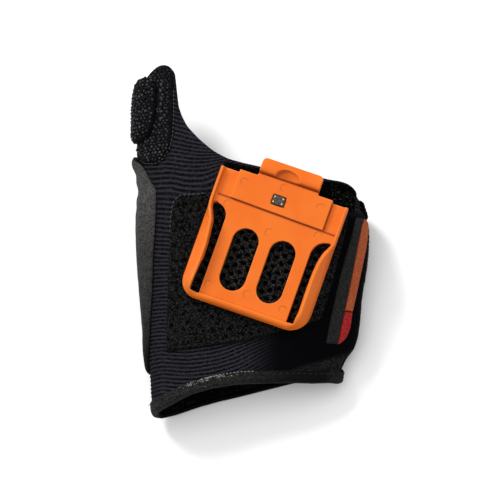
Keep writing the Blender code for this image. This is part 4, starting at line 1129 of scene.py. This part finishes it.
def contacts(block_paint, gold, place):
    def stack(name, rings, paint, slot, node):
        """Piece of rings stacked from the bottom up."""
        points = placed(place, np.reshape(rings, (-1, 3)))
        add(name, points, capped(numbers(len(rings), len(rings[0]))), paint, slot, node)

    pads, top, corner = CONTACTS, RAISED_TOP, 0.35
    rings = []
    for inset, z in ((0.0, -1.3), (0.0, 0.25), (0.12, 0.42), (0.3, 0.5), (0.9, 0.5), (1.0, 0.42),
                     (1.2, 0.42)):
        w, d = pads.width / 2 - inset - corner, pads.depth / 2 - inset - corner
        rings.append([(pads.x + x, pads.y + y, top + z)
                      for first, cx, cy in ((0, w, d), (90, -w, d), (180, -w, -d), (270, w, -d))
                      for x, y in arc(cx, cy, corner, first, first + 90, 6)])
    stack("contact_carrier", rings, block_paint, "contact_plastic", "contact_block")
    for k, (sx, sy) in enumerate(((-1, 1), (1, 1), (-1, -1), (1, -1)), 1):
        x, y = pads.x + sx * pads.pin_x, pads.y + sy * pads.pin_y
        rings = [[(x + r * math.cos(t), y + r * math.sin(t), top + z) for t in turns(20)]
                 for r, z in ((0.4, -0.4), (0.4, 0.75), (0.36, 0.9), (0.24, 0.98), (0.1, 1.0))]
        stack(f"contact_tip_{k}", rings, gold, "contact_gold", f"contact_pin_{k}")


# Floor, light, camera

def studio():
    scene = bpy.context.scene
    scene.view_settings.view_transform = "Standard"
    side, grey = 6.0, 0.93
    mesh = bpy.data.meshes.new("floor")
    mesh.from_pydata([(*p, 0) for p in box_outline(-side, side, -side, side)], [], [(0, 1, 2, 3)])
    paint = Paint("floor", 0.9, 0.1)
    paint.shader.inputs["Base Color"].default_value = (grey, grey, grey, 1)
    mesh.materials.append(paint.material)
    show("floor", mesh)
    world = bpy.data.worlds.new("studio")
    scene.world = world
    world.use_nodes = True
    back = world.node_tree.nodes["Background"]
    back.inputs["Color"].default_value = (1, 1, 1, 1)
    back.inputs["Strength"].default_value = 0.57
    for name, spot, size, power in (("overhead", (0.0, 0.0, 2.5), 3.0, 37.0),
                                    ("key", (-0.80, 1.00, 1.15), 0.5, 21.0)):
        light = bpy.data.lights.new(name, "AREA")
        light.size, light.energy = size, power
        lamp = show(name, light)
        lamp.location = spot
        lamp.rotation_mode = "QUATERNION"
        lamp.rotation_quaternion = (-Vector(spot)).to_track_quat("-Z", "Y")


def camera():
    """Camera at the photograph's angle, looking at a point on the back of the hand."""
    distance, focal, pixels, sensor = 1.2, 3230.595, 500, 36.0    # metres, pixels, pixels, millimetres
    right, up = Vector((0.9945219, 0.0, -0.10452846)), Vector((0.02866602, 0.96166093, 0.27273891))
    back = Vector((0.10052094, -0.27424124, 0.95639285))
    target = Vector((np.array([1.5, 56.0, 20.0]) + SHIFT) * MM)
    data = bpy.data.cameras.new("camera")
    data.sensor_width, data.lens = sensor, focal / pixels * sensor
    data.clip_start, data.clip_end = 0.05, 50.0
    matrix = Matrix((right, up, back)).transposed().to_4x4()
    matrix.translation = target + distance * back
    thing = show("camera", data)
    thing.matrix_world = matrix
    bpy.context.scene.camera = thing


def main():
    studio()
    camera()
    thread = thread_paint("dark_thread", (22, 22, 23), (62, 61, 62))
    light_thread = thread_paint("light_thread", (58, 58, 58), (122, 121, 117))
    bright = thread_paint("bright_thread", (120, 120, 118), (215, 213, 208))
    dots = dot_paint()
    hand_sleeve(knit_paint())
    wrist_binding(band_paint("binding", (6, 6, 6), (52, 51, 50), (56, 55, 54), (7, 7, 7)), thread, bright)
    thumb_binding(band_paint("thumb_band", (46, 45, 44), (94, 93, 91), (100, 99, 96), (14, 14, 14)))
    mesh_pad(mesh_paint(), light_thread)
    knuckle_band(pile_paint())
    grip_patch(grip_paint(), dots, light_thread)
    trigger_pad(grip_paint(), dots)
    closure_edge(pile_paint())
    near, far = LABEL_LINES[0, 0], LABEL_LINES[-1, 0]
    dark = label_paint("label_dark", (43, 44, 44), (68, 69, 68), (25, 25, 25))
    orange = label_paint("label_orange", (204, 104, 60), (220, 128, 86), (160, 74, 41))
    red = label_paint("label_red", (200, 41, 43), (220, 74, 74), (144, 27, 29))
    label_piece("label_base", near, far, 1, dark, "label_dark", "side_label")
    label_piece("label_stripe", LABEL_END + 0.1, far, 2, orange, "label_orange", "side_stripe")
    label_piece("label_stripe_end", near, LABEL_END - 0.1, 2, red, "label_red", "side_stripe_end")
    place = holder_place()
    plastic = plastic_paint()
    scanner_holder(plastic, place)
    holder_marks(plastic, place)
    contacts(contact_paint(), metal_paint(), place)


main()
